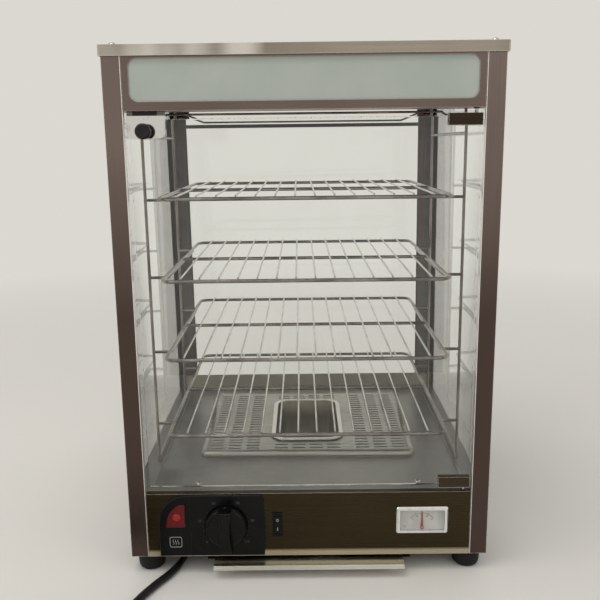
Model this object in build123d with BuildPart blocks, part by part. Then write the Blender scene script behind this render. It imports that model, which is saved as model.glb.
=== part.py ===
from build123d import *
import math
import os

# Glass-sided countertop pie warmer. Millimetres, +Z up, the front faces -Y.
# The origin is on the bench, under the middle of the object's box.

# Driving sizes of the cabinet
body_width = 460.0  # across the corner posts
body_depth = 440.0  # front face of the front posts to rear face of the rear posts
foot_height = 23.0
base_top = 110.0  # cavity floor, and top edge of the control panel
header_bottom = 584.5
lip_bottom = 645.0
lip_top = 657.5
lip_overhang = 2.5
sheet = 1.2
glass = 4.0

# How far the thermostat grip and the cord gland stand out of the body
knob_proud = 26.0
gland_proud = 14.0
front = -(body_depth + gland_proud - knob_proud) / 2

# Corner posts
post_face = 22.0
post_return = 8.0
post_side_leg = 25.0
rear_post_face = 34.0

# Door
door_glass = 5.0
door_left = -202.0
door_right = 204.0
door_bottom = 119.0
door_top = 575.5
door_depth = 1.5  # front face of the door glass behind the post faces
hinge_x = 198.0
hinge_depth = door_depth + door_glass / 2
hinge_pin_radius = 2.0
hinge_bush_radius = 2.7
shaft_radius = 3.0
shaft_clearance = 0.05

# Shelves and the wire racks that carry them
shelf_count = 4
shelf_top_z = 480.5  # centre of the frame wire of the highest shelf
shelf_pitch = 103.0
shelf_width = 369.0
shelf_front = 42.0
shelf_depth = 386.0
frame_wire = 5.0
grid_wire = 2.6
grid_count = 14
frame_corner = 14.0
slide_gap = 0.3
rack_wire = 4.0
rack_x = 207.5
rack_front = 104.0
rack_rear = 362.0
rack_top = 600.0
runner_x = 183.0
tie_wire = 3.0

# Crumb cover, water pan and crumb tray
cover_width = 303.0
cover_front = 119.0
cover_rear = 389.0
cover_height = 7.5
pan_width = 108.0
pan_length = 177.0
pan_front = 157.0
pan_depth = 62.0
tray_half = 118.5
tray_flange = 129.5
tray_rear = 330.0
tray_lip = 18.0

# Sides of the sections that stand for round ones, and steps in a wire's bend
wire_sides = 6
tube_sides = 8
screw_sides = 12
turned_sides = 24
bend_steps = 2

# Mains cord
cord_diameter = 9.5
gland_x = -105.0
gland_z = 95.0

post_inner = body_width / 2 - post_face
panel_half = post_inner - 0.5
side_inner = body_width / 2 - sheet
cap_underside = lip_top - sheet
floor_recess = 1.5
floor_z = base_top - floor_recess
cover_top = floor_z + cover_height


def at(depth):
    """Y of a place that is this far behind the faces of the front posts."""
    return front + depth


def block(x0, x1, d0, d1, z0, z1, mode=Mode.ADD):
    """A straight-sided piece between two corners, depths measured from the front."""
    with Locations(((x0 + x1) / 2, at((d0 + d1) / 2), (z0 + z1) / 2)):
        Box(x1 - x0, d1 - d0, z1 - z0, mode=mode)


def disc(x, d, z, radius, height, mode=Mode.ADD):
    """An upright running fit: a true cylinder that stands on z."""
    with Locations((x, at(d), z + height / 2)):
        Cylinder(radius, height, mode=mode)


def stud(x, d, z, radius, height, mode=Mode.ADD):
    """An upright screw or its hole, with flat sides, that stands on z."""
    with BuildSketch(Plane.XY.offset(z)) as section:
        with Locations((x, at(d))):
            RegularPolygon(radius, screw_sides)
    extrude(section.sketch, amount=height, mode=mode)


def section_plane(origin, direction):
    """A plane square to a bar, turned so that a corner of the bar's section is at its top."""
    upright = abs(direction.normalized().Z) > 0.99
    return Plane(origin=origin, x_dir=(1, 0, 0) if upright else (0, 0, 1), z_dir=direction)


def rod(start, end, radius, sides=wire_sides, mode=Mode.ADD):
    """A straight bar between two points, depths measured from the front. No sides means round."""
    a = Vector(start[0], at(start[1]), start[2])
    b = Vector(end[0], at(end[1]), end[2])
    with BuildSketch(section_plane(a, b - a)) as section:
        if sides:
            RegularPolygon(radius, sides)
        else:
            Circle(radius)
    extrude(section.sketch, amount=(b - a).length, mode=mode)


def rounded_runs(points, bend, steps):
    """Straight runs whose inner corners are cut into equal chords of one arc."""
    corners = [Vector(x, at(d), z) for x, d, z in points]
    path_points = [corners[0]]
    for before, corner, after in zip(corners, corners[1:], corners[2:]):
        arriving = (corner - before).normalized()
        leaving = (after - corner).normalized()
        half_turn = math.radians(arriving.get_angle(leaving)) / 2
        inward = (leaving - arriving).normalized()
        along = (arriving + leaving).normalized()
        centre = corner + inward * (bend / math.cos(half_turn))
        for n in range(steps + 1):
            swing = half_turn * (2 * n / steps - 1)
            path_points.append(centre + (along * math.sin(swing) - inward * math.cos(swing)) * bend)
    path_points.append(corners[-1])
    return path_points


def bent_wire(points, radius, bend, sides=wire_sides, steps=bend_steps, closed=False):
    """A wire along straight runs joined by equal bends. A closed one starts and ends in the middle of a run."""
    path_points = rounded_runs(points, bend, steps)
    with BuildLine() as path:
        if closed:
            Polyline(*path_points[:-1], close=True)
        else:
            Polyline(*path_points)
    with BuildSketch(section_plane(path_points[0], path_points[1] - path_points[0])) as section:
        RegularPolygon(radius, sides)
    sweep(section.sketch, path=path.line, transition=Transition.RIGHT)


def turned(base, stations, sides=turned_sides):
    """A piece turned about the normal of its base plane, from its heights above it and its radii."""
    for (low, low_radius), (high, high_radius) in zip(stations, stations[1:]):
        if low == high:
            continue
        sections = []
        for height, radius in ((low, low_radius), (high, high_radius)):
            with BuildSketch(base.offset(height)) as section:
                RegularPolygon(radius, sides)
            sections.append(section.sketch.face())
        loft(sections, ruled=True)


def facing_rear(x, z):
    """The base plane of a piece turned front to back: heights above it are depths."""
    return Plane(origin=(x, at(0), z), x_dir=(0, 0, 1), z_dir=(0, 1, 0))


def save(part, name):
    part.label = name
    export_step(part, f"parts/{name}.step")


os.makedirs("parts", exist_ok=True)

# Corner posts: a folded angle each, the front ones with a return beside the panels
with BuildPart() as front_posts:
    for side in (-1, 1):
        with BuildSketch(Plane.XY.offset(foot_height)):
            with BuildLine():
                outer = body_width / 2 * side
                inner = post_inner * side
                Polyline(
                    (outer, at(0)), (inner, at(0)), (inner, at(post_return)),
                    (inner + sheet * side, at(post_return)), (inner + sheet * side, at(sheet)),
                    (outer - sheet * side, at(sheet)), (outer - sheet * side, at(post_side_leg)),
                    (outer, at(post_side_leg)), close=True,
                )
            make_face()
        extrude(amount=cap_underside - foot_height)
save(front_posts.part, "front_posts")

with BuildPart() as rear_posts:
    for side in (-1, 1):
        with BuildSketch(Plane.XY.offset(foot_height)):
            with BuildLine():
                outer = body_width / 2 * side
                inner = (body_width / 2 - rear_post_face) * side
                Polyline(
                    (outer, at(body_depth)), (inner, at(body_depth)),
                    (inner, at(body_depth - sheet)), (outer - sheet * side, at(body_depth - sheet)),
                    (outer - sheet * side, at(body_depth - post_side_leg)),
                    (outer, at(body_depth - post_side_leg)), close=True,
                )
            make_face()
        extrude(amount=cap_underside - foot_height)
save(rear_posts.part, "rear_posts")

# Base box
panel_flange = 10.0
back_plane = body_depth - 2 * sheet  # front face of the rear panel
side_panel_inner = side_inner - sheet
crumb_opening = (-105.0, 105.0, 140.0, 315.0)
with BuildPart() as base_plate:
    block(-side_panel_inner, side_panel_inner, panel_flange, back_plane, foot_height, foot_height + sheet)
    block(*crumb_opening, foot_height, foot_height + sheet, mode=Mode.SUBTRACT)
    foot_places = [(x, d) for x in (-208.0, 208.0) for d in (21.0, body_depth - 22.0)]
    for foot_x, foot_d in foot_places:
        stud(foot_x, foot_d, foot_height, 2.6, sheet, mode=Mode.SUBTRACT)
save(base_plate.part, "base_plate")

with BuildPart() as side_panels:
    for side in (-1, 1):
        x0, x1 = sorted((side * side_panel_inner, side * side_inner))
        block(x0, x1, sheet, back_plane, foot_height, base_top)
        # Louvres that let the base breathe
        for row in range(5):
            block(x0, x1, 290 + row * 16, 296 + row * 16, 45, 85, mode=Mode.SUBTRACT)
save(side_panels.part, "side_panels")

with BuildPart() as rear_panel:
    block(-side_inner, side_inner, back_plane, body_depth - sheet, foot_height, 131.0)
    with BuildSketch(Plane.XZ.offset(-at(back_plane))):
        with Locations((gland_x, gland_z)):
            Circle(8.0)
    extrude(amount=-sheet * 2, mode=Mode.SUBTRACT)
save(rear_panel.part, "rear_panel")

# Rear glass in its bottom channel, and the rail across it
channel_front = 431.0
with BuildPart() as rear_channel:
    with BuildSketch(Plane.YZ.offset(-222.0)):
        with BuildLine():
            Polyline(
                (at(channel_front), base_top), (at(back_plane), base_top),
                (at(back_plane), base_top + 2), (at(channel_front + sheet), base_top + 2),
                (at(channel_front + sheet), 131), (at(channel_front), 131), close=True,
            )
        make_face()
    extrude(amount=444.0)
save(rear_channel.part, "rear_glass_channel")

rear_glass_depth = back_plane - 0.2 - glass
with BuildPart() as rear_glass:
    block(-222, 222, rear_glass_depth, rear_glass_depth + glass, base_top + 2, 640)
save(rear_glass.part, "rear_glass")

with BuildPart() as rear_rail:
    block(-196, 196, back_plane - 0.2, back_plane + 1.6, 574, 580)
    block(-196, 196, back_plane - 0.2, back_plane + 1.6, 640, cap_underside)
save(rear_rail.part, "rear_rails")

for side, name in ((-1, "side_glass_left"), (1, "side_glass_right")):
    with BuildPart() as side_glass:
        x0, x1 = sorted((side * (side_inner - glass), side * side_inner))
        block(x0, x1, sheet, back_plane, base_top, cap_underside)
    save(side_glass.part, name)

# Roof
with BuildPart() as roof_cap:
    with BuildSketch(Plane.XY.offset(lip_bottom)):
        with Locations((0, at(body_depth / 2))):
            RectangleRounded(body_width + 2 * lip_overhang, body_depth + 2 * lip_overhang, 2.0)
    extrude(amount=lip_top - lip_bottom)
    offset(amount=-sheet, openings=roof_cap.faces().sort_by(Axis.Z)[0])
    screw_places = [(x, d) for x in (-218.0, 218.0) for d in (10.0, body_depth - 12.0)]
    for screw_x, screw_d in screw_places:
        stud(screw_x, screw_d, cap_underside, 2.1, sheet, mode=Mode.SUBTRACT)
save(roof_cap.part, "roof_cap")

with BuildPart() as roof_screws:
    for screw_x, screw_d in screw_places:
        stud(screw_x, screw_d, lip_top - 9, 2.0, 9)
        head_base = Plane.XY.offset(lip_top).shift_origin((screw_x, at(screw_d), lip_top))
        turned(head_base, [(0, 4.6), (1.6, 4.2), (2.9, 2.6), (3.3, 1.0)], screw_sides)
save(roof_screws.part, "roof_screws")

with BuildPart() as roof_brackets:
    for screw_x, screw_d in screw_places:
        rear = screw_d > body_depth / 2
        d0, d1 = (screw_d - 8, screw_d + 5) if rear else (screw_d - 8, screw_d + 8)
        inner_x = 212.0
        outer_x = side_inner - glass
        x0, x1 = sorted((math.copysign(inner_x, screw_x), math.copysign(outer_x, screw_x)))
        block(x0, x1, d0, d1, cap_underside - 4, cap_underside)
        stud(screw_x, screw_d, cap_underside - 4, 2.05, 4, mode=Mode.SUBTRACT)
save(roof_brackets.part, "roof_brackets")

# Header with its frosted light window
header_flange = 12.0
with BuildPart() as header_panel:
    with BuildSketch(Plane.YZ.offset(-panel_half)):
        with BuildLine():
            Polyline(
                (at(0), header_bottom), (at(header_flange), header_bottom),
                (at(header_flange), header_bottom + sheet), (at(sheet), header_bottom + sheet),
                (at(sheet), cap_underside), (at(0), cap_underside), close=True,
            )
        make_face()
    extrude(amount=2 * panel_half)
    with BuildSketch(Plane.XZ.offset(-at(sheet + 1))):
        with Locations((0, 618.6)):
            RectangleRounded(399, 48, 10)
    extrude(amount=sheet + 2, mode=Mode.SUBTRACT)
    stud(hinge_x, hinge_depth, header_bottom, hinge_bush_radius, sheet, mode=Mode.SUBTRACT)
save(header_panel.part, "header_panel")

with BuildPart() as header_lens:
    block(-204, 204, sheet, sheet + 4, 590, 650)
save(header_lens.part, "header_lens")

tray_floor = header_bottom + sheet
with BuildPart() as light_tray:
    with BuildSketch(Plane.YZ.offset(-224.0)):
        with BuildLine():
            Polyline(
                (at(9), tray_floor), (at(70), tray_floor), (at(70), cap_underside),
                (at(69), cap_underside), (at(69), tray_floor + 1), (at(9), tray_floor + 1), close=True,
            )
        make_face()
    extrude(amount=448)
save(light_tray.part, "light_tray")

lamp_z = 618.0
lamp_d = 38.0
with BuildPart() as lamp_holders:
    for side in (-1, 1):
        x0, x1 = sorted((side * 150.0, side * 168.0))
        block(x0, x1, lamp_d - 10, lamp_d + 10, tray_floor + 1, lamp_z + 12)
    rod((-159, lamp_d, lamp_z), (159, lamp_d, lamp_z), 6.0, screw_sides, mode=Mode.SUBTRACT)
save(lamp_holders.part, "lamp_holders")

with BuildPart() as lamp_tube:
    rod((-150, lamp_d, lamp_z), (150, lamp_d, lamp_z), 8.0, screw_sides)
    rod((-158, lamp_d, lamp_z), (158, lamp_d, lamp_z), 5.9, screw_sides)
save(lamp_tube.part, "lamp_tube")

# Control panel, folded at the top and bottom
thermostat_x = -105.6
thermostat_z = 67.5
rocker_x = -39.9
rocker_z = 66.9
thermo_x = 145.7
thermo_z = 72.0
with BuildPart() as control_panel:
    with BuildSketch(Plane.YZ.offset(-panel_half)):
        with BuildLine():
            Polyline(
                (at(0), foot_height), (at(panel_flange), foot_height),
                (at(panel_flange), foot_height + sheet), (at(sheet), foot_height + sheet),
                (at(sheet), base_top - sheet), (at(panel_flange), base_top - sheet),
                (at(panel_flange), base_top), (at(0), base_top), close=True,
            )
        make_face()
    extrude(amount=2 * panel_half)
    with BuildSketch(Plane.XZ.offset(-at(sheet + 1))):
        with Locations((thermostat_x, thermostat_z)):
            Circle(6.0)
        with Locations((rocker_x, rocker_z)):
            Rectangle(11.6, 27.6)
        with Locations((thermo_x, thermo_z)):
            Rectangle(60.0, 31.0)
    extrude(amount=sheet + 2, mode=Mode.SUBTRACT)
    stud(hinge_x, hinge_depth, base_top - sheet, hinge_bush_radius, sheet, mode=Mode.SUBTRACT)
save(control_panel.part, "control_panel")

# Thermostat: bezel with its pilot light, switch body, and the knob on its shaft
bezel_left, bezel_right = -192.0, -55.5
bezel_bottom, bezel_top = 25.0, 109.0
bezel_corner = 38.0
bezel_thick = 3.0
with BuildPart() as thermostat_bezel:
    with BuildSketch(Plane.XZ.offset(-at(0))):
        with BuildLine():
            Line((bezel_left, bezel_bottom), (bezel_left, bezel_top - bezel_corner))
            ThreePointArc(
                (bezel_left, bezel_top - bezel_corner),
                (
                    bezel_left + bezel_corner * (1 - math.cos(math.pi / 4)),
                    bezel_top - bezel_corner * (1 - math.sin(math.pi / 4)),
                ),
                (bezel_left + bezel_corner, bezel_top),
            )
            Line((bezel_left + bezel_corner, bezel_top), (bezel_right - 3, bezel_top))
            ThreePointArc(
                (bezel_right - 3, bezel_top), (bezel_right, (bezel_top + bezel_bottom) / 2),
                (bezel_right - 1.5, bezel_bottom),
            )
            Line((bezel_right - 1.5, bezel_bottom), (bezel_left, bezel_bottom))
        make_face()
    extrude(amount=bezel_thick)
    chamfer(thermostat_bezel.faces().sort_by(Axis.Y)[0].edges(), 0.8)
    with BuildSketch(Plane.XZ.offset(-at(-bezel_thick))):
        with Locations((thermostat_x, thermostat_z)):
            Circle(4.0)
    extrude(amount=-bezel_thick - 1, mode=Mode.SUBTRACT)
save(thermostat_bezel.part, "thermostat_bezel")

lens_left, lens_right, lens_bottom, lens_top = -182.6, -158.2, 66.0, 97.0
lens_arc = 20.0
with BuildPart() as pilot_lens:
    with BuildSketch(Plane.XZ.offset(-at(-bezel_thick))):
        with BuildLine():
            Line((lens_left, lens_bottom), (lens_left + 1.5, lens_top - lens_arc))
            ThreePointArc(
                (lens_left + 1.5, lens_top - lens_arc), (lens_left + 8, lens_top - 7.5),
                (lens_right - 6, lens_top),
            )
            Line((lens_right - 6, lens_top), (lens_right, lens_top))
            Line((lens_right, lens_top), (lens_right, lens_bottom))
            Line((lens_right, lens_bottom), (lens_left, lens_bottom))
        make_face()
    extrude(amount=1.4)
save(pilot_lens.part, "pilot_lens")

with BuildPart() as thermostat_body:
    block(
        thermostat_x - 22, thermostat_x + 22, sheet, sheet + 30, thermostat_z - 22, thermostat_z + 22
    )
    with BuildSketch(Plane.XZ.offset(-at(sheet))):
        with Locations((thermostat_x, thermostat_z)):
            Circle(shaft_radius + shaft_clearance)
    extrude(amount=-22, mode=Mode.SUBTRACT)
save(thermostat_body.part, "thermostat_body")

with BuildPart() as thermostat_shaft:
    rod((thermostat_x, -16, thermostat_z), (thermostat_x, 20, thermostat_z), shaft_radius, sides=0)
save(thermostat_shaft.part, "thermostat_shaft")

skirt_radius = 27.7
skirt_back = -3.4
with BuildPart() as thermostat_knob:
    turned(
        facing_rear(thermostat_x, thermostat_z),
        [(-13.0, 20.0), (-12.0, 25.0), (-7.5, skirt_radius), (skirt_back, skirt_radius)], 36,
    )
    # Waisted grip bar right across the skirt
    with BuildSketch(Plane.XZ.offset(-at(-7.0))):
        with BuildLine():
            Line((thermostat_x - 9.0, thermostat_z + 27.0), (thermostat_x + 9.0, thermostat_z + 27.0))
            ThreePointArc(
                (thermostat_x + 9.0, thermostat_z + 27.0), (thermostat_x + 6.2, thermostat_z),
                (thermostat_x + 9.5, thermostat_z - 28.5),
            )
            Line((thermostat_x + 9.5, thermostat_z - 28.5), (thermostat_x - 9.5, thermostat_z - 28.5))
            ThreePointArc(
                (thermostat_x - 9.5, thermostat_z - 28.5), (thermostat_x - 6.2, thermostat_z),
                (thermostat_x - 9.0, thermostat_z + 27.0),
            )
        make_face()
    extrude(amount=knob_proud - 7.0)
    chamfer(thermostat_knob.faces().sort_by(Axis.Y)[0].edges(), 1.5)
    with BuildSketch(Plane.XZ.offset(-at(skirt_back))):
        with Locations((thermostat_x, thermostat_z)):
            Circle(shaft_radius)
    extrude(amount=skirt_back + 16, mode=Mode.SUBTRACT)
save(thermostat_knob.part, "thermostat_knob")

# Rocker switch: housing through the panel, paddle that tips on a cross pin
rocker_pivot = 4.0
with BuildPart() as rocker_housing:
    block(rocker_x - 6.7, rocker_x + 6.7, -2, 0, rocker_z - 16.5, rocker_z + 16.5)
    block(rocker_x - 5.7, rocker_x + 5.7, 0, 22, rocker_z - 13.7, rocker_z + 13.7)
    block(rocker_x - 4.7, rocker_x + 4.7, -2, 12, rocker_z - 12.4, rocker_z + 12.4, mode=Mode.SUBTRACT)
    rod((rocker_x - 4.7, rocker_pivot, rocker_z), (rocker_x + 4.7, rocker_pivot, rocker_z), 1.0, sides=0)
save(rocker_housing.part, "rocker_housing")

with BuildPart() as rocker_paddle:
    with BuildSketch(Plane.YZ.offset(rocker_x - 4.3)):
        with BuildLine():
            Polyline(
                (at(-1.6), rocker_z + 11.2), (at(0.9), rocker_z), (at(-3.4), rocker_z - 10.6),
                (at(1.5), rocker_z - 11.0), (at(6.5), rocker_z - 3.5), (at(6.5), rocker_z + 3.5),
                (at(2.5), rocker_z + 11.2), close=True,
            )
        make_face()
        with Locations((at(rocker_pivot), rocker_z)):
            Circle(1.0 + shaft_clearance, mode=Mode.SUBTRACT)
    extrude(amount=8.6)
save(rocker_paddle.part, "rocker_paddle")

# Thermometer
thermo_proud = 4.0
with BuildPart() as thermometer_bezel:
    with BuildSketch(Plane.XZ.offset(-at(0))):
        with Locations((thermo_x, thermo_z)):
            RectangleRounded(66.2, 37.0, 3.0)
            RectangleRounded(57.0, 28.0, 1.5, mode=Mode.SUBTRACT)
    extrude(amount=thermo_proud)
    chamfer(thermometer_bezel.faces().sort_by(Axis.Y)[0].outer_wire().edges(), 1.5)
save(thermometer_bezel.part, "thermometer_bezel")

with BuildPart() as thermometer_body:
    block(thermo_x - 29.5, thermo_x + 29.5, 0.5, 16, thermo_z - 15, thermo_z + 15)
save(thermometer_body.part, "thermometer_body")

with BuildPart() as thermometer_dial:
    block(thermo_x - 28.4, thermo_x + 28.4, 0, 0.5, thermo_z - 13.9, thermo_z + 13.9)
    rod((thermo_x, 0, thermo_z - 10), (thermo_x, -1.9, thermo_z - 10), 1.0, sides=0)
save(thermometer_dial.part, "thermometer_dial")

with BuildPart() as thermometer_window:
    with BuildSketch(Plane.XZ.offset(-at(-2.2))):
        with Locations((thermo_x, thermo_z)):
            RectangleRounded(56.8, 27.8, 1.5)
    extrude(amount=1.2)
save(thermometer_window.part, "thermometer_window")

with BuildPart() as thermometer_needle:
    with BuildSketch(Plane.XZ.offset(-at(-0.8))):
        with BuildLine():
            Polyline(
                (thermo_x - 1.6, thermo_z - 12.6), (thermo_x + 1.6, thermo_z - 12.6),
                (thermo_x + 0.4, thermo_z + 10.5), (thermo_x - 0.4, thermo_z + 10.5), close=True,
            )
        make_face()
        with Locations((thermo_x, thermo_z - 10)):
            Circle(2.2)
            Circle(1.0 + shaft_clearance, mode=Mode.SUBTRACT)
    extrude(amount=0.6)
save(thermometer_needle.part, "thermometer_needle")

# Cavity floor, stepped down inside a flat rim
cover_open = (-140.0, 140.0, 128.0, 380.0)
with BuildPart() as floor_plate:
    block(-side_panel_inner, side_panel_inner, panel_flange, channel_front, floor_z - sheet, base_top)
    with BuildSketch(Plane.XY.offset(base_top)):
        with Locations((0, at(218))):
            RectangleRounded(406, 396, 6)
    extrude(amount=-floor_recess, mode=Mode.SUBTRACT)
    block(*cover_open, floor_z - sheet, floor_z, mode=Mode.SUBTRACT)
    for side in (-1, 1):
        stud(side * 143.5, 35, floor_z - sheet, 2.1, sheet, mode=Mode.SUBTRACT)
save(floor_plate.part, "floor_plate")

with BuildPart() as floor_screws:
    for side in (-1, 1):
        stud(side * 143.5, 35, floor_z - 8, 2.0, 8)
        stud(side * 143.5, 35, floor_z, 4.5, 1.2)
        stud(side * 143.5, 35, floor_z + 1.2, 3.2, 1.0)
save(floor_screws.part, "floor_screws")

# Slotted crumb cover, pressed up at its rim, with the pan hole in the middle
slot_pitch = 10.25
slot_rows = 23
slot_size = (19.0, 4.2)
pan_centre = pan_front + pan_length / 2
with BuildPart() as perforated_cover:
    with BuildSketch(Plane.XY.offset(floor_z + slide_gap)):
        with Locations((0, at((cover_front + cover_rear) / 2))):
            RectangleRounded(cover_width, cover_rear - cover_front, 8)
    extrude(amount=cover_height - slide_gap, taper=8)
    offset(amount=-sheet, openings=perforated_cover.faces().sort_by(Axis.Z)[0])
    with BuildSketch(Plane.XY.offset(cover_top - 2 * sheet)):
        with Locations((0, at(pan_centre))):
            RectangleRounded(pan_width - 8, pan_length - 8, 12)
        for column in (79.0, 105.0, 131.0):
            for side in (-1, 1):
                for row in range(slot_rows):
                    with Locations((side * column, at(132.6 + row * slot_pitch))):
                        Rectangle(*slot_size)
        for column in (-37.8, -12.6, 12.6, 37.8):
            for depth in (133.0, 144.3, 345.7, 357.0):
                with Locations((column, at(depth))):
                    Rectangle(*slot_size)
    extrude(amount=3 * sheet, mode=Mode.SUBTRACT)
save(perforated_cover.part, "perforated_cover")

# Water pan: drawn and tapered, its rim turned down on to the cover
pan_rim_top = cover_top + 3.2
pan_taper = 7.35
pan_wall = 1.0
pan_rim_inset = 6.0
pan_corner = 24.0
pan_hem = 1.2
with BuildPart() as water_pan:
    with BuildSketch(Plane.XY.offset(pan_rim_top - pan_wall)):
        with Locations((0, at(pan_centre))):
            RectangleRounded(pan_width, pan_length, pan_corner)
    extrude(amount=pan_wall)
    with BuildSketch(Plane.XY.offset(cover_top + slide_gap)):
        with Locations((0, at(pan_centre))):
            RectangleRounded(pan_width, pan_length, pan_corner)
            RectangleRounded(
                pan_width - 2 * pan_hem, pan_length - 2 * pan_hem, pan_corner - pan_hem,
                mode=Mode.SUBTRACT,
            )
    extrude(amount=pan_rim_top - pan_wall - cover_top - slide_gap)
    with BuildSketch(Plane.XY.offset(pan_rim_top - pan_wall)):
        with Locations((0, at(pan_centre))):
            inset = 2 * pan_rim_inset
            RectangleRounded(pan_width - inset, pan_length - inset, pan_corner - pan_rim_inset)
    extrude(amount=-(pan_depth - pan_wall), taper=pan_taper)
    with BuildSketch(Plane.XY.offset(pan_rim_top)):
        with Locations((0, at(pan_centre))):
            inset = 2 * (pan_rim_inset + pan_wall)
            RectangleRounded(
                pan_width - inset, pan_length - inset, pan_corner - pan_rim_inset - pan_wall
            )
    extrude(amount=-(pan_depth - pan_wall), taper=pan_taper, mode=Mode.SUBTRACT)
save(water_pan.part, "water_pan")

# Tubular heating element round the pan, on two brackets that stand on the base
element_z = 80.0
element_radius = 4.0
with BuildPart() as heating_element:
    bent_wire(
        [(-85, 62, element_z), (-85, 372, element_z), (85, 372, element_z), (85, 62, element_z)],
        element_radius, 40, tube_sides, steps=6,
    )
save(heating_element.part, "heating_element")

with BuildPart() as element_brackets:
    for depth in (90.0, 327.0):
        block(-100, 100, depth, depth + 2, foot_height + sheet, element_z - 8)
        for side in (-1, 1):
            block(side * 85 - 8, side * 85 + 8, depth, depth + 2, element_z - 8, element_z + 8)
            with BuildSketch(Plane.XZ.offset(-at(depth + 3))):
                with Locations((side * 85, element_z)):
                    RegularPolygon(element_radius + 0.4, tube_sides)
            extrude(amount=4, mode=Mode.SUBTRACT)
save(element_brackets.part, "element_brackets")

# Side racks of welded wire: uprights and rails, then a runner for each shelf
wire_radius = rack_wire / 2
wire_flat = math.cos(math.pi / wire_sides)  # half width across the flats, as a share of the radius
weld_gap = 0.02
runner_z = [shelf_top_z - k * shelf_pitch - (frame_wire + rack_wire) / 2 - slide_gap for k in range(shelf_count)]
for side, name in ((-1, "rack_left"), (1, "rack_right")):
    with BuildPart() as rack:
        x = side * rack_x
        for depth in (rack_front, rack_rear):
            rod((x, depth, base_top), (x, depth, rack_top), wire_radius)
        for rail_z in (116.0, 557.0):
            inset = wire_radius * wire_flat + weld_gap
            rod((x, rack_front + inset, rail_z), (x, rack_rear - inset, rail_z), wire_radius)
        near = side * (rack_x - wire_radius)
        for level in runner_z:
            bent_wire(
                [
                    (near, rack_front, level), (side * runner_x, rack_front, level),
                    (side * runner_x, rack_rear, level), (near, rack_rear, level),
                ],
                wire_radius, 6,
            )
    save(rack.part, name)

with BuildPart() as rack_ties:
    near = rack_x - wire_radius
    bent_wire(
        [
            (-near, rack_front, 580), (-182, rack_front, 580), (-176, rack_front, 584),
            (176, rack_front, 584), (182, rack_front, 580), (near, rack_front, 580),
        ],
        tie_wire / 2, 2.5,
    )
    bent_wire(
        [
            (-near, rack_rear, 594), (-190, rack_rear, 594), (-157, rack_rear, 581.5),
            (157, rack_rear, 581.5), (190, rack_rear, 594), (near, rack_rear, 594),
        ],
        tie_wire / 2, 6,
    )
save(rack_ties.part, "rack_ties")

# Shelves: a frame wire bent round the corners, one bar across, and the grid wires on top
for k in range(shelf_count):
    z = shelf_top_z - k * shelf_pitch
    half = shelf_width / 2 - frame_wire / 2
    d0 = shelf_front + frame_wire / 2
    d1 = shelf_front + shelf_depth - frame_wire / 2
    middle = (d0 + d1) / 2
    with BuildPart() as shelf:
        bent_wire(
            [
                (0, d0, z), (half, d0, z), (half, d1, z), (-half, d1, z), (-half, d0, z), (0, d0, z),
            ],
            frame_wire / 2, frame_corner, closed=True,
        )
        bar_end = half - frame_wire / 2 * wire_flat
        rod((-bar_end, middle, z), (bar_end, middle, z), frame_wire / 2)
        grid_z = z + frame_wire / 2 + grid_wire / 2
        for n in range(grid_count):
            x = -half + (n + 1) * 2 * half / (grid_count + 1)
            rod((x, d0 - 1, grid_z), (x, d1 + 1, grid_z), grid_wire / 2)
    save(shelf.part, f"shelf_{k + 1}")

# Door: one pane, clamped top and bottom on its hinge pins, with a handle plate and knob
with BuildPart() as door_pane:
    block(door_left, door_right, door_depth, door_depth + door_glass, door_bottom, door_top)
    fillet(door_pane.edges().filter_by(Axis.Y), 1.5)
save(door_pane.part, "door_glass")

clamp_proud = 2.5
clamp_left, clamp_right = 165.5, 205.0
clamp_height = 14.0
clamp_top_z = 578.5
clamp_bottom_z = 116.0
with BuildPart() as hinge_clamps:
    for z0, web0, web1 in (
        (clamp_top_z - clamp_height, door_top, clamp_top_z),
        (clamp_bottom_z, clamp_bottom_z, door_bottom),
    ):
        z1 = z0 + clamp_height
        block(clamp_left, clamp_right, door_depth - clamp_proud, door_depth, z0, z1)
        block(clamp_left, clamp_right, door_depth + door_glass, door_depth + door_glass + clamp_proud, z0, z1)
        block(clamp_left, clamp_right, door_depth, door_depth + door_glass, web0, web1)
save(hinge_clamps.part, "hinge_clamps")

with BuildPart() as hinge_pins:
    disc(hinge_x, hinge_depth, 578.5, hinge_pin_radius, 8.0)
    disc(hinge_x, hinge_depth, 107.5, hinge_pin_radius, 8.5)
save(hinge_pins.part, "hinge_pins")

with BuildPart() as hinge_bushes:
    for z0, collar in ((header_bottom - 1.5, header_bottom - 1.5), (106.0, base_top)):
        stud(hinge_x, hinge_depth, z0, hinge_bush_radius, 5.5)
        stud(hinge_x, hinge_depth, collar, hinge_bush_radius + 0.8, 1.5)
        disc(hinge_x, hinge_depth, z0, hinge_pin_radius + shaft_clearance, 5.5, mode=Mode.SUBTRACT)
save(hinge_bushes.part, "hinge_bushes")

plate_left, plate_right, plate_bottom, plate_top = -205.0, -160.0, 553.5, 579.0
plate_thick = 1.5
plate_back = door_depth + door_glass
knob_x, knob_z = -183.5, 561.4
with BuildPart() as handle_plate:
    block(plate_left, plate_right, door_depth - plate_thick, door_depth, plate_bottom, plate_top)
    block(plate_left, plate_right, plate_back, plate_back + plate_thick, plate_bottom, plate_top)
    block(plate_left, plate_right, door_depth, plate_back, door_top, plate_top)
    lower_edges = handle_plate.edges().filter_by(Axis.Y).group_by(Axis.Z)[0]
    fillet(lower_edges.filter_by(lambda e: e.center().X > knob_x), 8.0)
    # Head of the screw that holds the knob
    with BuildSketch(Plane.XZ.offset(-at(plate_back + plate_thick))):
        with Locations((knob_x, knob_z)):
            RegularPolygon(4.0, screw_sides)
    extrude(amount=-1.2)
save(handle_plate.part, "handle_plate")

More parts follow.
